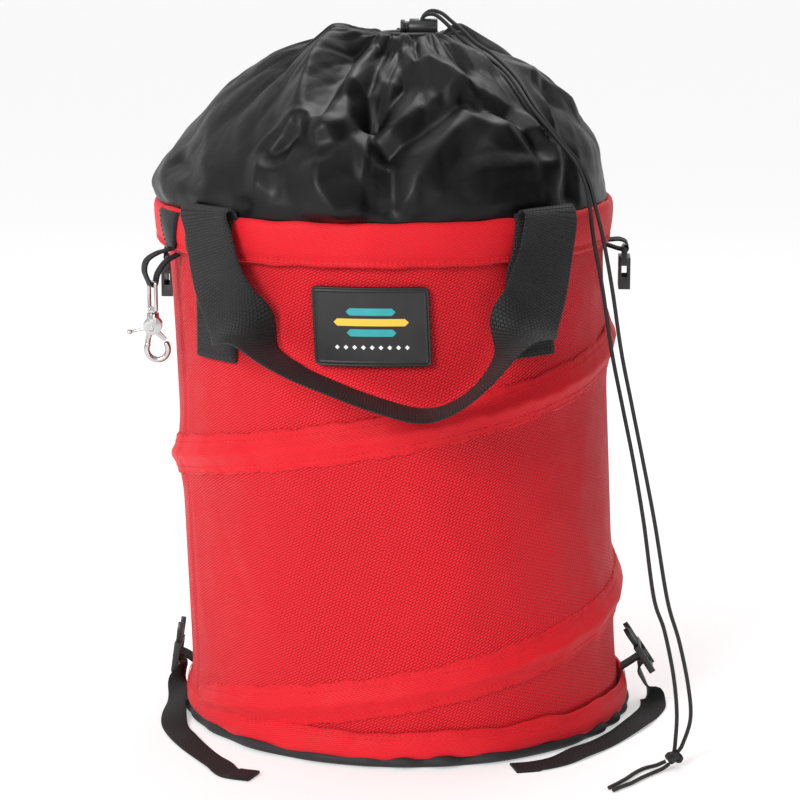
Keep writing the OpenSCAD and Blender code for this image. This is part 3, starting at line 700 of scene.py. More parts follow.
def addWall():
    azimuth = np.linspace(0, 2 * math.pi, wall["columns"], endpoint=False)
    height = np.linspace(wall["foot"], wall["top"], wall["rows"])
    inside = np.linspace(wall["top"], wall["foot"], 14)
    rows = [onBag(wallRadius(azimuth, np.full_like(azimuth, z)), azimuth, z) for z in height]
    rows += [onBag(wallRadius(azimuth, np.full_like(azimuth, z)) - bag["wallThickness"],
                   azimuth, z) for z in inside]
    along = np.concatenate([height, inside, [wall["foot"]]])
    uvs = np.zeros((len(rows) + 1, wall["columns"] + 1, 2))
    uvs[..., 0] = np.linspace(0, 2 * math.pi * bag["wallRadius"], wall["columns"] + 1)[None]
    uvs[..., 1] = along[:, None]
    piece = gridMesh("bagWall", rows, uvs, redCloth, closeRows=True, closeColumns=True)
    normalsOut(piece)
    place(piece, "between", "red_fabric", ["wall_panel"])


addWall()
print("wall made")

# ---- spiral channel and the spring in it ----

channel = dict(
    height=0.031,
    wire=0.003,
)


def alongSpiral(start, end, step, offset, lift):
    # A line that follows the spiral, offset up the wall and lifted off it, in metres
    turns = np.radians(np.arange(start, end, step))
    z = spiralZ(np.degrees(turns)) + offset
    azimuth = turns - math.pi / 2
    return onBag(wallRadius(azimuth, z) + lift, azimuth, z)


def addChannel():
    first, last = bag["channelTurns"]
    turns = np.radians(np.arange(first, last + 0.1, 1.25))
    half = channel["height"] / 2
    # Across the strip: offset up the wall, and how far each point stands off it
    shape = np.array([(-1.0, 0.0005), (-0.985, 1.0), (-0.88, 1.15), (-0.78, 1.25),
                      (-0.55, 1.75), (-0.3, 2.9), (-0.12, 4.3), (0, 4.65), (0.12, 4.3),
                      (0.3, 2.9), (0.55, 1.75), (0.78, 1.25), (0.88, 1.15), (0.985, 1.0),
                      (1.0, 0.0005)])
    offset, lift = shape[:, 0][None, :], shape[:, 1][None, :]
    turn = turns[:, None]
    azimuth = turn - math.pi / 2
    middle = spiralZ(np.degrees(turn))
    ringIndex = np.arange(len(turns))[:, None]
    fade = np.minimum(1, np.minimum((ringIndex + 1) / 8, (len(turns) - ringIndex) / 8))
    z = middle + offset * half * (0.55 + 0.45 * fade)
    z = z + 0.0006 * np.sin(turn * 23 + offset * 2) + 0.0005 * np.sin(turn * 51)
    ground = wallRadius(azimuth, np.minimum(z, 0.39))
    pucker = 0.00045 * np.sin(turn * 97 + 3 * np.sin(turn * 13)) * np.abs(offset) ** 2
    outer = onBag(ground + lift * mm * (0.3 + 0.7 * fade) + np.where(lift > 0.5, pucker, 0),
                  azimuth, z)
    under = np.array([0.5, 0, -0.5])[None, :]
    level = wallRadius(azimuth, middle) + 0.02 * mm
    inner = onBag(level + 0 * under, azimuth, middle + under * half)
    rows = np.concatenate([outer, inner], axis=1)
    run = (turns - turns[0]) * bag["wallRadius"]
    across = np.concatenate([shape[:, 0], [0.5, 0, -0.5, -1.0]]) * half
    uvs = np.zeros((len(turns), len(across), 2))
    uvs[..., 0] = run[:, None]
    uvs[..., 1] = across[None, :]
    piece = gridMesh("spiralChannel", rows, uvs, redTape, closeColumns=True, caps=True)
    normalsOut(piece)
    place(piece, "between", "red_fabric", ["spiral_channel"])

    wire = tube("spiralSpring", alongSpiral(first + 14, last - 14, 3, 0, 2.0 * mm),
                channel["wire"], springSteel, 8)
    place(wire, "between", "spring_steel", ["spiral_wire"])

    lines = [alongSpiral(first + 6, last - 5, 1.5, side * half,
                         (1.32 if abs(side) > 0.8 else 1.75) * mm)
             for side in (-0.9, 0.9, -0.62, 0.62)]
    seams = stitches("channelStitches", lines, threadRed)
    place(seams, "between", "red_fabric")


addChannel()
print("spiral channel made")


def revolve(name, profile, centre, material, columns=240, wobble=0.0, seed=1, scallop=0.0):
    # A closed ring of a drawn section: a list of (radius, height)
    azimuth = np.linspace(0, 2 * math.pi, columns, endpoint=False)
    rows = []
    length = 0
    run = [0]
    for k, (radius, z) in enumerate(profile):
        shift = waves(azimuth * 9, np.full_like(azimuth, z / 0.012), seed, 8, 0.6, 2.6) * wobble
        drop = waves(azimuth * 16, azimuth * 0, seed + 4, 8, 0.8, 2.4) * scallop
        r = radius + shift
        rows.append(np.stack([centre + r * np.sin(azimuth), -r * np.cos(azimuth), z + drop],
                             axis=-1))
        after = profile[(k + 1) % len(profile)]
        length += math.dist((radius, z), after)
        run.append(length)
    uvs = np.zeros((len(profile) + 1, columns + 1, 2))
    uvs[..., 0] = np.linspace(0, 2 * math.pi * profile[0][0], columns + 1)[None]
    uvs[..., 1] = np.array(run)[:, None]
    return normalsOut(gridMesh(name, rows, uvs, material, closeRows=True, closeColumns=True))


def ringLine(radius, z, centre, wobble=0.0, step=1.5):
    azimuth = np.radians(np.arange(0, 360 + step, step))
    r = radius + waves(azimuth * 9, np.full_like(azimuth, z / 0.012), 1, 8, 0.6, 2.6) * wobble
    return np.stack([centre + r * np.sin(azimuth), -r * np.cos(azimuth),
                     np.full_like(azimuth, z)], axis=-1)


# ---- base ----

base = dict(pipingRadius=0.1712, pipingWidth=0.0082)


def addBase():
    band = [(168.2, 7.4), (170.8, 6.4), (173.2, 7.2), (174.2, 10), (174.4, 13), (173.8, 17),
            (172.3, 21.5), (171.2, 24.4), (170.6, 26.4), (169.6, 26.6), (169.0, 25.8),
            (169.2, 20), (169.6, 12)]
    band = [(r * mm, z * mm) for r, z in band]
    piece = revolve("baseBand", band, 0, redTape, 300, wobble=0.0004, seed=2, scallop=0.0017)
    place(piece, "base", "red_fabric", ["base_band"])
    rows = stitches("baseBandStitches", [ringLine(0.1725, 0.0219, 0), ringLine(0.1717, 0.0245, 0)],
                    threadRed)
    place(rows, "base", "red_fabric")

    # Black piping: cloth rolled over a cord, wavy where it is sewn round the curve
    azimuth = np.linspace(0, 2 * math.pi, 540, endpoint=False)
    path = []
    for a in azimuth:
        scallop = 0.0022 * math.sin(a * 27 + 2.4 * math.sin(a * 5)) * (0.6 + 0.4 * math.sin(a * 7))
        path.append((math.sin(a) * (base["pipingRadius"] + scallop * 1.1),
                     -math.cos(a) * (base["pipingRadius"] + scallop * 1.1),
                     0.0049 + 0.34 * scallop))
    piping = tube("basePiping", path, base["pipingWidth"], baseCloth, 12, closed=True)
    place(piping, "base", "base_cloth", ["base_piping"])

    # Floor of the bag: a padded panel, slightly crowned and quilted inside
    rings = 26
    columns = 96
    azimuth = np.linspace(0, 2 * math.pi, columns, endpoint=False)
    rows = []
    for side in (1, -1):
        for k in range(rings + 1):
            share = k / rings if side == 1 else 1 - k / rings
            radius = 0.0004 + share * 0.1642
            swell = 0.0010 * math.cos(min(1, share) * math.pi / 2) ** 0.5
            z = 0.0031 + swell if side == 1 else 0.0006
            if share > 0.985:
                z = 0.0019
            rows.append([(radius * math.sin(a), -radius * math.cos(a), z) for a in azimuth])
    uvs = np.zeros((len(rows) + 1, columns + 1, 2))
    for k, row in enumerate(rows + [rows[0]]):
        uvs[k, :, 0] = [p[0] for p in row] + [row[0][0]]
        uvs[k, :, 1] = [p[1] for p in row] + [row[0][1]]
    panel = normalsOut(gridMesh("basePanel", rows, uvs, baseCloth, closeRows=True,
                                closeColumns=True))
    place(panel, "base", "base_cloth", ["base_panel"])


addBase()
print("base made")

# ---- rim ----

rim = dict(centre=-bag["lean"])


def addRim():
    band = [(170.8, 369.2), (171.9, 368.8), (172.6, 370.2), (172.9, 372.4), (172.5, 373.6),
            (173.5, 375.4), (174.4, 379), (175.1, 385), (175.5, 391), (175.4, 396),
            (174.6, 399.2), (173.2, 400.8), (171.6, 401.0), (170.2, 400), (169.2, 397.4),
            (168.9, 392.6), (169.4, 386), (169.9, 378)]
    band = [(r * mm, z * mm) for r, z in band]
    piece = revolve("rimBand", band, rim["centre"], redTape, 330, wobble=0.0005, seed=6,
                    scallop=0.0007)
    place(piece, "rim", "red_fabric", ["rim_band"])
    rows = stitches("rimBandStitches", [ringLine(0.1734, 0.3735, rim["centre"]),
                                        ringLine(0.1731, 0.3712, rim["centre"])], threadRed)
    place(rows, "rim", "red_fabric")


addRim()
print("rim made")

# ---- handles ----

handle = dict(
    width=0.050,
    thickness=0.0024,
    frontRoute=[[-130.5, -129.5, 397], [-132.5, -132, 404.6], [-136, -136, 407.3],
                [-138.2, -138.6, 402], [-134.5, -140, 386], [-127.5, -147.5, 357],
                [-114, -160, 332], [-96, -178, 313], [-70, -193, 299], [-40, -198, 287],
                [-10, -198, 276], [22, -196, 268], [46, -195, 275], [67, -192, 292],
                [84, -183, 315], [97, -166, 338], [105, -149, 362], [109.5, -138.5, 386],
                [111, -132, 402], [108.5, -129, 407.3], [105.5, -125, 404.6],
                [103.5, -122.5, 397]],
    frontWidth=[[0.75, -0.66, 0], [0.75, -0.66, 0], [0.75, -0.66, 0], [0.75, -0.66, 0],
                [0.75, -0.66, 0], [0.78, -0.6, 0.1], [0.84, -0.42, 0.25], [0.12, 0.97, 0.1],
                [0.05, 1, 0.02], [0, 1, 0], [0, 1, 0], [0, 1, 0], [0, 1, 0],
                [-0.05, 1, 0.02], [-0.25, 0.93, 0.1], [-0.78, -0.42, 0.2],
                [-0.72, -0.6, 0.1], [-0.71, -0.7, 0], [-0.71, -0.7, 0], [-0.71, -0.7, 0],
                [-0.71, -0.7, 0], [-0.71, -0.7, 0]],
    rearHalf=[[-121, -121, 397], [-123, -123.5, 404.6], [-126.5, -126.5, 407.3],
              [-129, -129.5, 402], [-127.5, -131, 386], [-122, -138.5, 357],
              [-108, -154, 330], [-86, -176, 308], [-56, -190, 292], [-28, -196, 283]],
    rearWidth=[[0.7, -0.7, 0], [0.7, -0.7, 0], [0.7, -0.7, 0], [0.7, -0.7, 0], [0.7, -0.7, 0],
               [0.75, -0.6, 0.1], [0.85, -0.2, 0.3], [0.6, 0.5, 0.45], [0.25, 0.9, 0.3],
               [0.1, 1, 0.1]],
    # Azimuths of each sewn end at the rim and at its foot, and the height of its foot
    legs=dict(front_left_leg=(-42.0, -46.5, 0.2925), front_right_leg=(44.5, 41.0, 0.2985),
              rear_left_leg=(225.0, 228.0, 0.2925), rear_right_leg=(135.0, 132.0, 0.2925)),
)


def addLeg(node, atRim, atFoot, foot):
    # Webbing sewn flat: down the band and on down the wall, following both
    name = "".join(word.capitalize() for word in node.split("_"))
    name = name[0].lower() + name[1:]
    heights = np.concatenate([np.linspace(foot, 0.364, 22), np.linspace(0.367, 0.4015, 14)])
    across = np.array([-0.5, -0.48, -0.4, -0.27, -0.13, 0, 0.13, 0.27, 0.4, 0.48, 0.5])
    skin = []
    for z in heights:
        share = (z - foot) / (0.4015 - foot)
        azimuth = math.radians(atFoot + (atRim - atFoot) * share)
        angles = azimuth + across * handle["width"] / 0.1735
        level = np.full_like(angles, min(z, 0.39))
        ground = wallRadius(angles, level) + np.maximum(channelLift(angles, level) + 0.0004,
                                                        0.0014)
        onWall = onBag(ground, angles, z)
        bandRadius = 0.1735 + 0.0022 * min(1, max(0, (z - 0.369) / 0.012))
        if z > 0.397:
            bandRadius -= (z - 0.397) * 0.35
        onBand = np.stack([rim["centre"] + bandRadius * np.sin(angles),
                           -bandRadius * np.cos(angles), np.full_like(angles, z)], axis=-1)
        blend = float(np.clip((z - 0.362) / 0.012, 0, 1))
        blend = blend * blend * (3 - 2 * blend)
        skin.append(onWall * (1 - blend) + onBand * blend)
    skin = np.array(skin)
    # Over the top of the rim and down inside it, under the collar's seam
    top = skin[-1]
    middle = np.array([rim["centre"], 0, 0])
    inwards = unit((middle - top) * np.array([1, 1, 0]))
    over = [top + inwards * a * mm + np.array([0, 0, b * mm])
            for a, b in ((0.9, 1.5), (2.4, 2.0), (4.0, 1.2), (4.6, -0.6))]
    skin = np.concatenate([skin, np.array(over)])
    up = np.gradient(skin, axis=0)
    sideways = np.gradient(skin, axis=1)
    normal = unit(np.cross(sideways, up))
    edge = np.array([0.25, 0.8, 1, 1, 1, 1, 1, 1, 1, 0.8, 0.25])[None, :, None]
    outer = skin + normal * handle["thickness"] * edge
    rows = [np.concatenate([outer[k], skin[k][::-1]]) for k in range(len(skin))]
    run = np.concatenate([[0], np.cumsum(np.linalg.norm(np.diff(skin[:, 5], axis=0), axis=1))])
    spread = np.concatenate([across, across[::-1], [-0.5]]) * handle["width"]
    uvs = np.zeros((len(rows), len(spread), 2))
    uvs[..., 0] = spread[None]
    uvs[..., 1] = run[:, None]
    piece = normalsOut(gridMesh(name, rows, uvs, handleWebbing, closeColumns=True, caps=True))
    place(piece, "rim", "handle_webbing", [node])

    # A box of stitches with a cross in it, and a second row above it
    def spot(a, b):
        # a runs across and b up the leg, both in metres from the middle of the foot
        column = np.interp(a / handle["width"], across, np.arange(len(across)))
        row = np.interp(b, run, np.arange(len(run)))
        c0, r0 = int(column), int(row)
        c1, r1 = min(c0 + 1, len(across) - 1), min(r0 + 1, len(run) - 1)
        fc, fr = column - c0, row - r0
        return ((outer[r0, c0] * (1 - fc) + outer[r0, c1] * fc) * (1 - fr)
                + (outer[r1, c0] * (1 - fc) + outer[r1, c1] * fc) * fr
                + normal[r0, c0] * 0.0001)

    def row(a, b, c, d):
        return [spot(a + (c - a) * t, b + (d - b) * t) for t in np.linspace(0, 1, 24)]

    w = 0.0205
    lines = [row(-w, 0.004, w, 0.004), row(w, 0.004, w, 0.034), row(w, 0.034, -w, 0.034),
             row(-w, 0.034, -w, 0.004), row(-w, 0.004, w, 0.034), row(-w, 0.034, w, 0.004),
             row(-w, 0.079, w, 0.079), row(-w, 0.083, w, 0.083)]
    seams = stitches(name + "Stitches", lines, threadBlack)
    place(seams, "rim", "handle_webbing")
    return piece


def addLoop(name, node, route, widths):
    piece = ribbon(name, np.array(route) * mm, widths, handle["width"], handle["thickness"],
                   handleWebbing, step=2.5 * mm)
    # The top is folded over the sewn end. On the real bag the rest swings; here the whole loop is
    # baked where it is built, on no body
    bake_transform(piece)
    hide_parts(node)


for node, (atRim, atFoot, foot) in handle["legs"].items():
    addLeg(node, atRim, atFoot, foot)
addLoop("frontHandleLoop", "front_handle_loop", handle["frontRoute"],
        handle["frontWidth"])
rearRoute = [[-bag["lean"] / mm - x, -y, z] for x, y, z in handle["rearHalf"]]
rearRoute += [[-bag["lean"] / mm, 198, 280]]
rearRoute += [[-bag["lean"] / mm + x, -y, z] for x, y, z in reversed(handle["rearHalf"])]
rearWidth = [[-x, -y, z] for x, y, z in handle["rearWidth"]] + [[0, -1, 0]]
rearWidth += [[x, -y, z] for x, y, z in reversed(handle["rearWidth"])]
addLoop("rearHandleLoop", "rear_handle_loop", rearRoute, rearWidth)
print("handles made")

# ---- collar ----

collar = dict(
    columns=416,
    rows=94,
    mouth=(0.002, 0.0, 0.5215),  # middle of the gathered hem
    cloth=0.0011,
    flat=(1.037, 0.232),
    # Outline on each side: how far out from the axis, and how high
    left=[(172, 400), (173.5, 408), (173, 417), (164, 429), (150, 444), (127, 473), (97, 498),
          (66, 512), (36, 521), (24, 521)],
    right=[(171, 400), (169, 410), (166, 425), (163, 440), (155, 453), (138, 471), (113, 489),
           (80, 506), (46, 516), (24, 521)],
    front=[(172, 400), (173.5, 410), (172, 423), (166, 438), (152, 456), (130, 476), (103, 494),
           (74, 508), (44, 517), (24, 521)],
    # Ridges and valleys: azimuth in degrees and share of the way up for each point, then
    # height, reach and how sharp the line is
    creases=[
        ([(-6, 0.03), (-11, 0.12), (-13, 0.22), (-16, 0.33), (-24, 0.45), (-36, 0.66),
          (-60, 0.86)], 13, 24, 1.2),
        ([(-13, 0.37), (-11, 0.56), (-16, 0.83)], 14, 22, 1.2),
        ([(-16, 0.40), (-20, 0.58), (-32, 0.84)], -17, 20, 1.1),
        ([(-27, 0.25), (-21, 0.33), (-14, 0.25)], -10, 15, 1.1),
        ([(-27, 0.12), (-29, 0.22), (-24, 0.36)], 7, 15, 1.3),
        ([(-11, 0.84), (-5, 0.56), (-2, 0.43)], -13, 15, 1.1),
        ([(1, 0.84), (9, 0.62), (1, 0.43)], -13, 17, 1.1),
        ([(-9, 0.50), (-1, 0.36), (5, 0.26), (6, 0.17), (6, 0.05)], -8, 15, 1.2),
        ([(29, 0.47), (14, 0.35), (5, 0.27)], -8, 16, 1.2),
        ([(-4, 0.88), (12, 0.72), (24, 0.64), (33, 0.50), (39, 0.34), (50, 0.31)], 11, 22, 1.2),
        ([(34, 0.44), (42, 0.38), (49, 0.27)], -12, 17, 1.1),
        ([(27, 0.41), (17, 0.25), (9, 0.08)], 7, 22, 1.3),
        ([(-86, 0.50), (-56, 0.29), (-43, 0.08)], 4, 26, 1.4),
        ([(-66, 0.18), (-48, 0.12), (-32, 0.06)], -4, 12, 1.1),
        ([(-88, 0.30), (-70, 0.12), (-60, 0.03)], 3.5, 15, 1.2),
        ([(17, 0.10), (28, 0.17), (43, 0.18)], 4, 13, 1.2),
        ([(74, 0.50), (61, 0.24), (57, 0.06)], -6, 16, 1.1),
        ([(80, 0.60), (62, 0.40), (52, 0.17)], 5, 18, 1.2),
        ([(29, 0.91), (45, 0.74), (68, 0.60), (85, 0.40)], 7, 20, 1.2),
        ([(-70, 0.90), (-66, 0.74), (-80, 0.58)], 5, 18, 1.3),
        ([(118, 0.90), (128, 0.55), (122, 0.12)], 9, 26, 1.2),
        ([(100, 0.80), (108, 0.50), (96, 0.15)], -7, 20, 1.1),
        ([(152, 0.90), (148, 0.50), (160, 0.10)], -10, 22, 1.1),
        ([(170, 0.86), (178, 0.45), (166, 0.08)], 10, 26, 1.2),
        ([(204, 0.88), (196, 0.50), (208, 0.12)], -11, 22, 1.1),
        ([(226, 0.86), (222, 0.45), (232, 0.10)], 10, 26, 1.2),
        ([(250, 0.88), (246, 0.50), (256, 0.15)], -8, 20, 1.1),
    ],
)


def domePoint(azimuth, share):
    # A point on the unfolded dome. The axis moves from the rim's middle to the mouth's
    azimuth = np.asarray(azimuth, dtype=float)
    share = np.asarray(share, dtype=float)
    lists = {}
    for side in ("left", "right", "front"):
        line = smoothPath(np.array([(r, 0, z) for r, z in collar[side]]), 8) * mm
        run = np.concatenate([[0], np.cumsum(np.linalg.norm(np.diff(line, axis=0), axis=1))])
        lists[side] = (np.interp(share * run[-1], run, line[:, 0]),
                       np.interp(share * run[-1], run, line[:, 2]))
    toLeft = np.clip(-np.sin(azimuth), 0, 1) ** 1.6
    toRight = np.clip(np.sin(azimuth), 0, 1) ** 1.6
    toFront = 1 - toLeft - toRight
    radius = (toLeft * lists["left"][0] + toRight * lists["right"][0]
              + toFront * lists["front"][0])
    z = toLeft * lists["left"][1] + toRight * lists["right"][1] + toFront * lists["front"][1]
    drift = (collar["mouth"][0] - rim["centre"]) * share**2.2
    x = rim["centre"] + drift + radius * np.sin(azimuth)
    return np.stack([x, -radius * np.cos(azimuth), z], axis=-1)


def foldedCollar():
    columns, rows = collar["columns"], collar["rows"]
    azimuth = np.linspace(0, 2 * math.pi, columns, endpoint=False)[None, :]
    share = np.linspace(0, 1, rows)[:, None]
    azimuth, share = np.broadcast_arrays(azimuth, share)
    ground = domePoint(azimuth, share)
    step = 0.01
    alongUp = domePoint(azimuth, np.clip(share + step, 0, 1)) - domePoint(
        azimuth, np.clip(share - step, 0, 1))
    alongSide = domePoint(azimuth + step, share) - domePoint(azimuth - step, share)
    normal = unit(np.cross(alongSide, alongUp))

    # Pleats that grow towards the mouth, and crumples everywhere: sharp in the valleys
    bend = 0.35 * np.sin(azimuth * 2 + 0.8) + 0.28 * np.sin(azimuth * 3 - share * 2.2)
    wide = np.sin(azimuth * 7 + 2.4 * bend + 1.3 * share)
    narrow = np.sin(azimuth * 13 + 3.1 * bend - 2.0 * share + 1.0)
    gather = np.sin(azimuth * 26 + 2.5 * bend)
    grow = np.clip((share - 0.12) / 0.55, 0, 1) ** 1.2
    lift = 0.0075 * grow * (np.abs(wide) ** 0.7 - 0.6)
    lift = lift + 0.0042 * np.clip((share - 0.3) / 0.5, 0, 1) * (np.abs(narrow) ** 0.7 - 0.6)
    lift = lift + 0.0032 * gather * np.clip((share - 0.74) / 0.2, 0, 1)
    crumple = 0.0
    for size, depth, seed in ((3.2, 0.0052, 31), (6.5, 0.0030, 32), (12.0, 0.0016, 33),
                              (23.0, 0.0007, 34)):
        ripple = waves(azimuth * size, share * size * 0.9 + azimuth * size * 0.2, seed, 8, 0.6,
                       1.5)
        crumple = crumple + depth * (0.35 - np.minimum(np.abs(ripple) * 1.3, 1.0) ** 0.75)
    lift = (lift - crumple) * np.clip(share / 0.06, 0, 1) * np.clip((1.0 - share) / 0.05, 0, 1)

    creaseLift = np.zeros_like(lift)
    quiet = np.zeros_like(lift)
    for line, height, reach, sharp in collar["creases"]:
        route = np.array([domePoint(math.radians(a), s) for a, s in line])
        nearest = np.full(lift.shape, 9.0)
        for a, b in zip(route[:-1], route[1:]):
            span = b - a
            t = np.clip(((ground - a) @ span) / np.dot(span, span), 0, 1)
            nearest = np.minimum(nearest, np.linalg.norm(ground - (a + t[..., None] * span),
                                                         axis=-1))
        shape = np.clip(1 - nearest / (reach * mm), 0, 1) ** sharp
        creaseLift = creaseLift + height * mm * shape
        quiet = np.maximum(quiet, np.clip(1 - nearest / (reach * mm * 1.4), 0, 1))
    total = lift * (1 - 0.55 * quiet) + creaseLift * np.clip((1.0 - share) / 0.08, 0, 1) * (
        np.clip(share / 0.04, 0, 1))
    points = ground + normal * total[..., None]

    # The drawcord presses a groove where it crosses the cloth
    for strand in ("left", "right"):
        path = evenPath(np.array(drawcord[strand][4:15]) * mm, 4 * mm)
        for spot in path:
            away = points - spot
            depth = np.sum(away * normal, axis=-1)
            beside = np.linalg.norm(away - depth[..., None] * normal, axis=-1)
            limit = -0.0030 + (beside / 0.0075) ** 2 * 0.0030
            push = np.where((beside < 0.022) & (depth > -0.02), np.maximum(depth - limit, 0), 0)
            push = push * np.clip((share - 0.07) / 0.08, 0, 1)
            points = points - normal * push[..., None]
    return points


def addCollar():
    points = foldedCollar()
    columns, rows = collar["columns"], collar["rows"]
    hem = points[-1]
    middle = hem.mean(axis=0)
    # The hem turns over the cord and back down inside
    outwards = unit((hem - middle) * np.array([1, 1, 0]))
    turned = [hem + outwards * a * mm + np.array([0, 0, b * mm])
              for a, b in ((-0.6, 2.6), (-2.6, 4.2), (-5.0, 3.4), (-6.0, 0.6), (-5.2, -3.0))]
    skin = np.concatenate([points, np.array(turned)])
    faces = []
    corners = []
    width, length = collar["flat"]
    total = len(skin)
    for r in range(total - 1):
        for c in range(columns):
            c2 = (c + 1) % columns
            faces.append((r * columns + c, r * columns + c2, (r + 1) * columns + c2,
                          (r + 1) * columns + c))
            for cc, rr in ((c, r), (c + 1, r), (c + 1, r + 1), (c, r + 1)):
                corners.append((cc * width / columns, rr * length / rows))
    piece = buildMesh("gatheredCollar", skin.reshape(-1, 3), faces, corners, collarCloth)
    shell = piece.modifiers.new("Solidify", "SOLIDIFY")
    shell.thickness = collar["cloth"]
    shell.offset = -1
    applyModifiers(piece)
    normalsOut(piece)
    place(piece, "rim", "collar_cloth", ["collar"])

    azimuth = np.linspace(0, 2 * math.pi, 96, endpoint=False)
    inner = middle + np.array([0, 0, 0.0012])
    path = [(inner[0] + 0.0178 * math.sin(a), inner[1] - 0.0178 * math.cos(a), inner[2])
            for a in azimuth]
    cord = tube("hemCord", path, drawcord["diameter"], cordBraid, 10, closed=True)
    place(cord, "rim", "cord_braid", ["hem_cord"])


addCollar()
print("collar made")

# ---- label ----

label = dict(
    azimuth=math.radians(-0.2),
    middle=0.3265,
    width=0.0845,
    height=0.0575,
    corner=0.0045,
    groundLift=0.0022,  # how far its back stands off the wall
)


def onLabel(across, up, lift):
    # across and up are from the label's middle, lift is off the wall behind it
    z = label["middle"] + up
    azimuth = label["azimuth"] + across / 0.1695
    radius = bag["wallRadius"] + label["groundLift"] + lift
    return onBag(radius, azimuth, z)


def labelHeight(across, up):
    # Distance in from the rounded edge decides the height of the face there
    dx = np.abs(across) - (label["width"] / 2 - label["corner"])
    dz = np.abs(up) - (label["height"] / 2 - label["corner"])
    out = np.hypot(np.maximum(dx, 0), np.maximum(dz, 0)) + np.minimum(np.maximum(dx, dz), 0)
    inside = label["corner"] - out
    steps = [(0, 0.9), (0.35, 1.7), (0.8, 2.1), (1.3, 2.1), (1.6, 1.75), (2.4, 1.75), (2.7, 2.15),
             (3.5, 2.15), (3.8, 1.7), (40, 1.7)]
    return np.interp(inside, [s[0] * mm for s in steps], [s[1] * mm for s in steps])


def addLabel():
    edges = [0, 0.15, 0.4, 0.8, 1.3, 1.6, 2.0, 2.4, 2.7, 3.1, 3.5, 3.8, 4.4]
    columns = np.concatenate([np.array(edges) * mm - label["width"] / 2,
                              np.linspace(-0.034, 0.034, 22),
                              label["width"] / 2 - np.array(edges[::-1]) * mm])
    rows = np.concatenate([np.array(edges) * mm - label["height"] / 2,
                           np.linspace(-0.021, 0.021, 14),
                           label["height"] / 2 - np.array(edges[::-1]) * mm])
    a, b = np.meshgrid(columns, rows)
    # Rounds the corners by pulling each square ring into a rounded one
    cx = label["width"] / 2 - label["corner"]
    cz = label["height"] / 2 - label["corner"]
    dx, dz = np.maximum(np.abs(a) - cx, 0), np.maximum(np.abs(b) - cz, 0)
    both = (dx > 0) & (dz > 0)
    reach = np.maximum(dx, dz) / np.maximum(np.hypot(dx, dz), 1e-9)
    a = np.where(both, np.sign(a) * (cx + dx * reach), a)
    b = np.where(both, np.sign(b) * (cz + dz * reach), b)
    face = onLabel(a, b, labelHeight(a, b))
    back = onLabel(a, b, -0.0004)
    count = a.shape[0] * a.shape[1]
    width = a.shape[1]
    points = np.concatenate([face.reshape(-1, 3), back.reshape(-1, 3)])
    faces = []
    for r in range(a.shape[0] - 1):
        for c in range(width - 1):
            k = r * width + c
            faces.append((k, k + 1, k + width + 1, k + width))
            faces.append((count + k, count + k + width, count + k + width + 1, count + k + 1))
    border = [c for c in range(width)]
    border += [r * width + width - 1 for r in range(1, a.shape[0])]
    border += [(a.shape[0] - 1) * width + c for c in range(width - 2, -1, -1)]
    border += [r * width for r in range(a.shape[0] - 2, 0, -1)]
    for k, p in enumerate(border):
        q = border[(k + 1) % len(border)]
        faces.append((p, count + p, count + q, q))
    piece = normalsOut(buildMesh("labelPatch", points, faces, None, labelRubber))
    place(piece, "rim", "label_rubber", ["label_patch"])

    def row(x0, z0, x1, z1, count=30):
        return [onLabel(x0 + (x1 - x0) * t, z0 + (z1 - z0) * t, 1.85 * mm)
                for t in np.linspace(0, 1, count)]

    w, h = label["width"] / 2 - 0.0020, label["height"] / 2 - 0.0020
    seams = stitches("labelStitches", [row(-w, -h, w, -h), row(w, -h, w, h), row(w, h, -w, h),
                                       row(-w, h, -w, -h)], threadBlack, 0.0030, 0.0021, 0.0003)
    place(seams, "rim", "label_rubber")


def labelShape(name, outline, material, low=1.6, high=2.0):
    # A flat raised shape on the label, cut small enough across to follow its curve
    edit = bmesh.new()
    corners = [edit.verts.new((x * mm, z * mm, 0)) for x, z in outline]
    edit.faces.new(corners)
    for cut in np.arange(-40, 40, 2.0):
        bmesh.ops.bisect_plane(edit, geom=edit.verts[:] + edit.edges[:] + edit.faces[:],
                               plane_co=(cut * mm, 0, 0), plane_no=(1, 0, 0))
    made = bmesh.ops.extrude_face_region(edit, geom=edit.faces[:])
    for vertex in made["geom"]:
        if isinstance(vertex, bmesh.types.BMVert):
            vertex.co.z = 1.0
    for vertex in edit.verts:
        lift = high if vertex.co.z > 0.5 else low
        vertex.co = Vector(onLabel(vertex.co.x, vertex.co.y, lift * mm))
    bmesh.ops.recalc_face_normals(edit, faces=edit.faces)
    mesh = bpy.data.meshes.new(name)
    edit.to_mesh(mesh)
    edit.free()
    place(newObject(name, mesh, material), "rim", "label_rubber")


def addEmblem():
    # Plain stacked bars and a row of dots
    for k, (half, z, material) in enumerate(((15, 11, printTeal), (24, 3.5, printYellow),
                                             (15, -4, printTeal))):
        labelShape(f"emblemBar{k}", [(-half, z - 2.6), (half, z - 2.6), (half + 2.6, z),
                                     (half, z + 2.6), (-half, z + 2.6), (-half - 2.6, z)],
                   material)
    for k in range(9):
        x = (k - 4) * 6.2
        labelShape(f"emblemDot{k}", [(x - 1.7, -14.5), (x, -12.8), (x + 1.7, -14.5),
                                     (x, -16.2)], printWhite)


addLabel()
addEmblem()
print("label made")

# ---- hardware from the frame ----


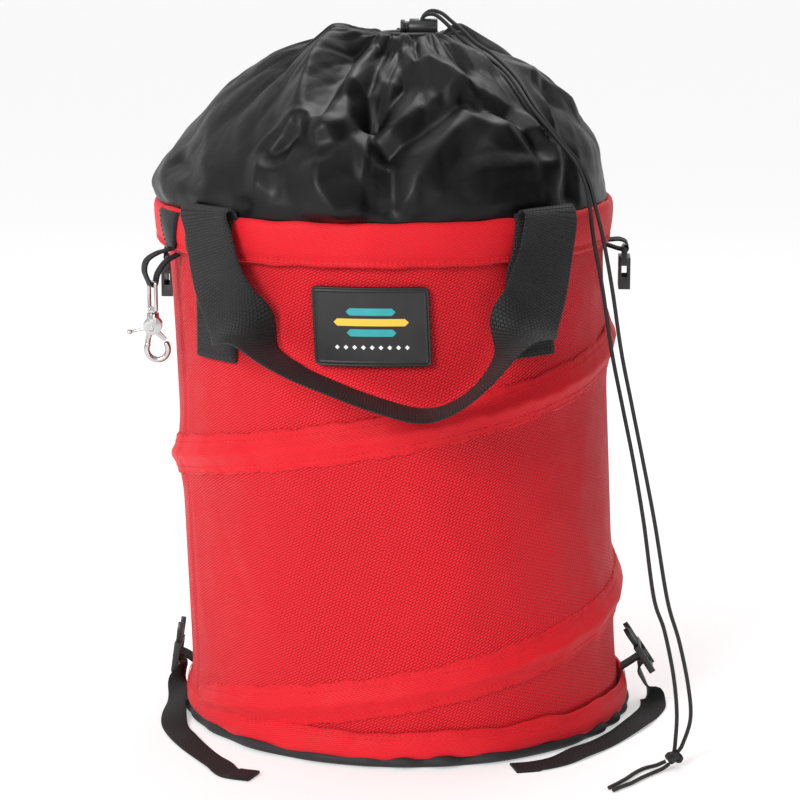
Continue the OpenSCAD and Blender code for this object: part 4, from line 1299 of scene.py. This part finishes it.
def softened(node, name, material, width, segments=2):
    # A copy of a frame solid with its small edges eased
    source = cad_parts[node]
    edit = bmesh.new()
    edit.from_mesh(source.data)
    bmesh.ops.remove_doubles(edit, verts=edit.verts, dist=2e-6)
    bmesh.ops.dissolve_limit(edit, angle_limit=math.radians(1.2), verts=edit.verts,
                             edges=edit.edges)
    mesh = bpy.data.meshes.new(name)
    edit.to_mesh(mesh)
    edit.free()
    mesh.materials.clear()
    piece = newObject(name, mesh, material)
    ease = piece.modifiers.new("Bevel", "BEVEL")
    ease.width = width
    ease.segments = segments
    ease.limit_method = "ANGLE"
    ease.angle_limit = math.radians(38)
    ease.harden_normals = False
    applyModifiers(piece)
    piece.data.set_sharp_from_angle(angle=math.radians(34))
    piece.data.polygons.foreach_set("use_smooth", [True] * len(piece.data.polygons))
    return piece


def addHardware():
    jobs = [
        ("left_plug", "leftPlug", "left_plug", bucklePlastic, 0.0004, "buckle_plastic"),
        ("right_plug", "rightPlug", "right_plug", bucklePlastic, 0.0004, "buckle_plastic"),
        ("left_socket", "leftSocket", "left_socket", bucklePlastic, 0.0006, "buckle_plastic"),
        ("right_socket", "rightSocket", "right_socket", bucklePlastic, 0.0006,
         "buckle_plastic"),
        ("cord_lock_barrel", "cordLockBarrel", "rim", bucklePlastic, 0.0006, "buckle_plastic"),
        ("cord_lock_plunger", "cordLockPlunger", "lock_plunger", bucklePlastic, 0.0006,
         "buckle_plastic"),
        ("snap_eye", "snapEye", "snap_swivel", snapChrome, 0.0003, "snap_chrome"),
        ("snap_body", "snapBody", "snap_hook", snapChrome, 0.0004, "snap_chrome"),
        ("snap_gate", "snapGate", "trigger", snapChrome, 0.0003, "snap_chrome"),
    ]
    for node, name, body, material, width, slot in jobs:
        place(softened(node, name, material, width), body, slot, [node])
    for node, material in (("snap_rivet", snapChrome), ("snap_spring", springSteel),
                           ("cord_lock_spring", springSteel), ("rim_hoop", springSteel),
                           ("base_hoop", springSteel)):
        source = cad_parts[node]
        source.data.materials.clear()
        source.data.materials.append(material)


addHardware()
print("hardware finished")

# ---- straps ----

strap = dict(
    width=0.020,
    thickness=0.0014,
    left=[[-169, 0, 30], [-175, 0, 34], [-180.7, 0, 36.3], [-182, 0, 36.65], [-183.3, 0, 36.3],
          [-184.3, 0, 35.3], [-184.65, 0, 34], [-184.3, 0, 32.7], [-183.3, 0, 31.7],
          [-182, 0, 31.35], [-177.6, -1, 27.5], [-177.4, -8, 20], [-178, -30, 11],
          [-177.5, -56, 5], [-173, -84, 1.3], [-163, -112, 2.0], [-150, -137, 1.2],
          [-138, -158, 1.2], [-127, -177, 2.2], [-117, -193, 1.2], [-99, -200, 1.2]],
    leftWidth=[[0, 1, 0]] * 10 + [[0, 1, 0], [0.1, 1, 0.2], [0.3, 0.9, 0.5], [0.7, 0.3, 0.3],
               [1, 0.15, 0], [0.93, 0.37, 0.05], [0.88, 0.47, 0], [0.86, 0.5, -0.05],
               [0.85, 0.52, 0], [0.7, 0.7, 0], [0.3, 0.95, 0]],
    right=[[169, 0, 29.5], [178, 0, 35.5], [185.7, 0, 41.3], [187, 0, 41.65], [188.3, 0, 41.3],
           [189.3, 0, 40.3], [189.65, 0, 39], [189.3, 0, 37.7], [188.3, 0, 36.7],
           [187, 0, 36.35], [183, 2, 30], [185, 6, 22], [190, 8, 12], [194, 2, 4],
           [194, -14, 1.2], [188, -36, 1.2], [180, -58, 2.2], [167, -84, 1.2],
           [152, -110, 1.2], [137, -132, 2.4], [122, -150, 1.2], [106, -162, 1.2],
           [88, -168, 1.2]],
    rightWidth=[[0, 1, 0]] * 10 + [[0, 1, 0], [0, 1, 0.1], [-0.2, 1, 0.2], [-0.7, 0.7, 0.2],
                [-1, 0.1, 0], [-0.96, 0.3, 0.05], [-0.93, 0.4, 0], [-0.88, 0.5, -0.05],
                [-0.84, 0.55, 0], [-0.8, 0.6, 0.05], [-0.7, 0.7, 0], [-0.5, 0.86, 0],
                [-0.3, 0.95, 0]],
)


def besideBag(azimuth, place, route):
    # Points given around a bar: across the bag's side, outwards as -Y, and up
    a = math.radians(azimuth)
    return [[place[0] + x * math.cos(a) - y * math.sin(a),
             place[1] + x * math.sin(a) + y * math.cos(a), place[2] + z] for x, y, z in route]


def aroundBar(radius, first, last, step):
    return [[0, radius * math.cos(math.radians(a)), radius * math.sin(math.radians(a))]
            for a in range(first, last + 1, step)]


def addStrap(name, node, route, widths):
    piece = ribbon(name, np.array(route) * mm, widths, strap["width"], strap["thickness"],
                   strapWebbing, step=2 * mm, fold=0.016)
    place(piece, "base", "strap_webbing", [node])


def addCarrier(name, node, azimuth, spot, route, width, thickness):
    path = besideBag(azimuth, spot, route)
    a = math.radians(azimuth)
    piece = ribbon(name, np.array(path) * mm, [[math.cos(a), math.sin(a), 0]] * len(path),
                   width, thickness, strapWebbing, step=0.8 * mm)
    place(piece, "rim", "strap_webbing", [node])


addStrap("leftStrap", "left_strap", strap["left"], strap["leftWidth"])
addStrap("rightStrap", "right_strap", strap["right"], strap["rightWidth"])
addCarrier("leftSocketLoop", "left_socket_loop", -90, (-191, 47, 346),
           [[0, 10.4, 20.5], [0, 5, 18.6], [0, 0, 13], [0, -2, 6]]
           + aroundBar(2.65, 150, 330, 30) + [[0, 4.4, 8], [0, 10.2, 16.6]], 0.020, 0.0014)
addCarrier("rightSocketLoop", "right_socket_loop", 90, (166.5, 0, 362),
           [[0, 15.2, 5.4], [0, 10, 6], [0, 4, 6.4], [0, -1, 4.5]]
           + aroundBar(2.65, 150, 330, 30) + [[0, 6, -0.5], [0, 15.2, 2.6]], 0.020, 0.0014)
addCarrier("snapLoop", "snap_loop", -61, (-184, -87, 344.5),
           [[0, 16.5, 24.5], [0, 12, 23.6], [0, 4, 21.8], [0, -4, 17], [0, -6, 9]]
           + aroundBar(2.6, 180, 360, 30) + [[0, 4.5, 7], [0, 11, 15], [0, 20.8, 20]],
           0.010, 0.0016)


def addTab():
    # Patch on the rim over the snap's loop: wide at the top, narrow at its foot
    heights = np.linspace(0.3705, 0.3985, 18)
    across = np.array([-1, -0.95, -0.8, -0.5, -0.2, 0, 0.2, 0.5, 0.8, 0.95, 1.0])
    rows = []
    uvs = []
    for k, z in enumerate(heights):
        share = k / (len(heights) - 1)
        half = math.radians(2.6 + 3.6 * share)
        angles = math.radians(-60.5) + across * half
        lift = 0.0012 * np.array([0.3, 0.9, 1, 1, 1, 1, 1, 1, 1, 0.9, 0.3])
        bulge = 0.0012 * math.sin(share * math.pi) * (1 - across**2)
        ground = 0.1741 + 0.0014 * min(1, max(0, (z - 0.375) / 0.012))
        if z > 0.396:
            ground -= (z - 0.396) * 0.4
        outer = ground + 0.0006 + lift + bulge
        row = [(rim["centre"] + r * math.sin(t), -r * math.cos(t), z)
               for r, t in zip(outer, angles)]
        row += [(rim["centre"] + (ground - 0.0006) * math.sin(t),
                 -(ground - 0.0006) * math.cos(t), z) for t in angles[::-1]]
        rows.append(row)
        flat = np.concatenate([across, across[::-1], [-1.0]]) * half * 0.175
        uvs.append([(u, z) for u in flat])
    piece = normalsOut(gridMesh("snapTab", rows, uvs, collarCloth, closeColumns=True, caps=True))
    place(piece, "rim", "tab_patch", ["snap_tab"])
    lines = []
    for side in (-0.82, 0.82):
        line = []
        for k, z in enumerate(np.linspace(0.3725, 0.3965, 10)):
            share = (z - 0.3705) / 0.028
            t = math.radians(-60.5) + side * math.radians(2.6 + 3.6 * share)
            r = 0.1741 + 0.0014 * min(1, max(0, (z - 0.375) / 0.012)) + 0.0023
            line.append((rim["centre"] + r * math.sin(t), -r * math.cos(t), z))
        lines.append(line)
    place(stitches("snapTabStitches", lines, threadBlack, 0.0032, 0.0023, 0.0003), "rim",
          "tab_patch")


addTab()
print("straps made")

# ---- floor and light ----


def addFloor():
    material = newMaterial("paleFloor", (0.62, 0.62, 0.62), 0.85, Specular_IOR_Level=0.1,
                           Emission_Color=(1, 1, 1, 1), Emission_Strength=0.44)[0]
    floor = buildMesh("floor", [(-20, -6, 0), (20, -6, 0), (20, 34, 0), (-20, 34, 0)],
                      [(0, 1, 2, 3)], None, material)
    # Dark cards that shape the reflections. They are out of sight only from the front: the right
    # one hides the bag from its right side.
    dark = newMaterial("darkCard", (0.03, 0.03, 0.03), 0.9, Specular_IOR_Level=0.0)[0]
    cards = [("rightCard", [(1.5, -1.7, 0.02), (1.5, 0.9, 0.02), (1.5, 0.9, 2.3),
                            (1.5, -1.7, 2.3)]),
             ("frontCard", [(-0.55, -2.9, 0.9), (1.5, -2.9, 0.9), (1.5, -2.9, 2.6),
                            (-0.55, -2.9, 2.6)])]
    for name, corners in cards:
        card = buildMesh(name, corners, [(0, 1, 2, 3)], None, dark)


def addLight(name, spot, aim, size, power):
    data = bpy.data.lights.new(name, "AREA")
    data.shape = "RECTANGLE"
    data.size, data.size_y = size
    data.energy = power
    light = bpy.data.objects.new(name, data)
    light.location = spot
    light.rotation_euler = (Vector(aim) - Vector(spot)).to_track_quat("-Z", "Y").to_euler()
    scene.collection.objects.link(light)


def addWorld():
    world = bpy.data.worlds.new("studio")
    scene.world = world
    world.use_nodes = True
    background = world.node_tree.nodes["Background"]
    background.inputs["Color"].default_value = (1, 1, 1, 1)
    background.inputs["Strength"].default_value = 0.80


addFloor()
addWorld()
addLight("keyLight", (-1.3, -2.3, 1.5), (0, 0, 0.2), (0.9, 0.9), 54)
addLight("fillLight", (1.2, -2.6, 0.5), (0, 0, 0.2), (1.2, 0.8), 7)
addLight("topLight", (0.3, 0.9, 1.9), (0, 0, 0.35), (1.0, 0.8), 14)
scene.view_settings.view_transform = "Standard"

print("scene ready")
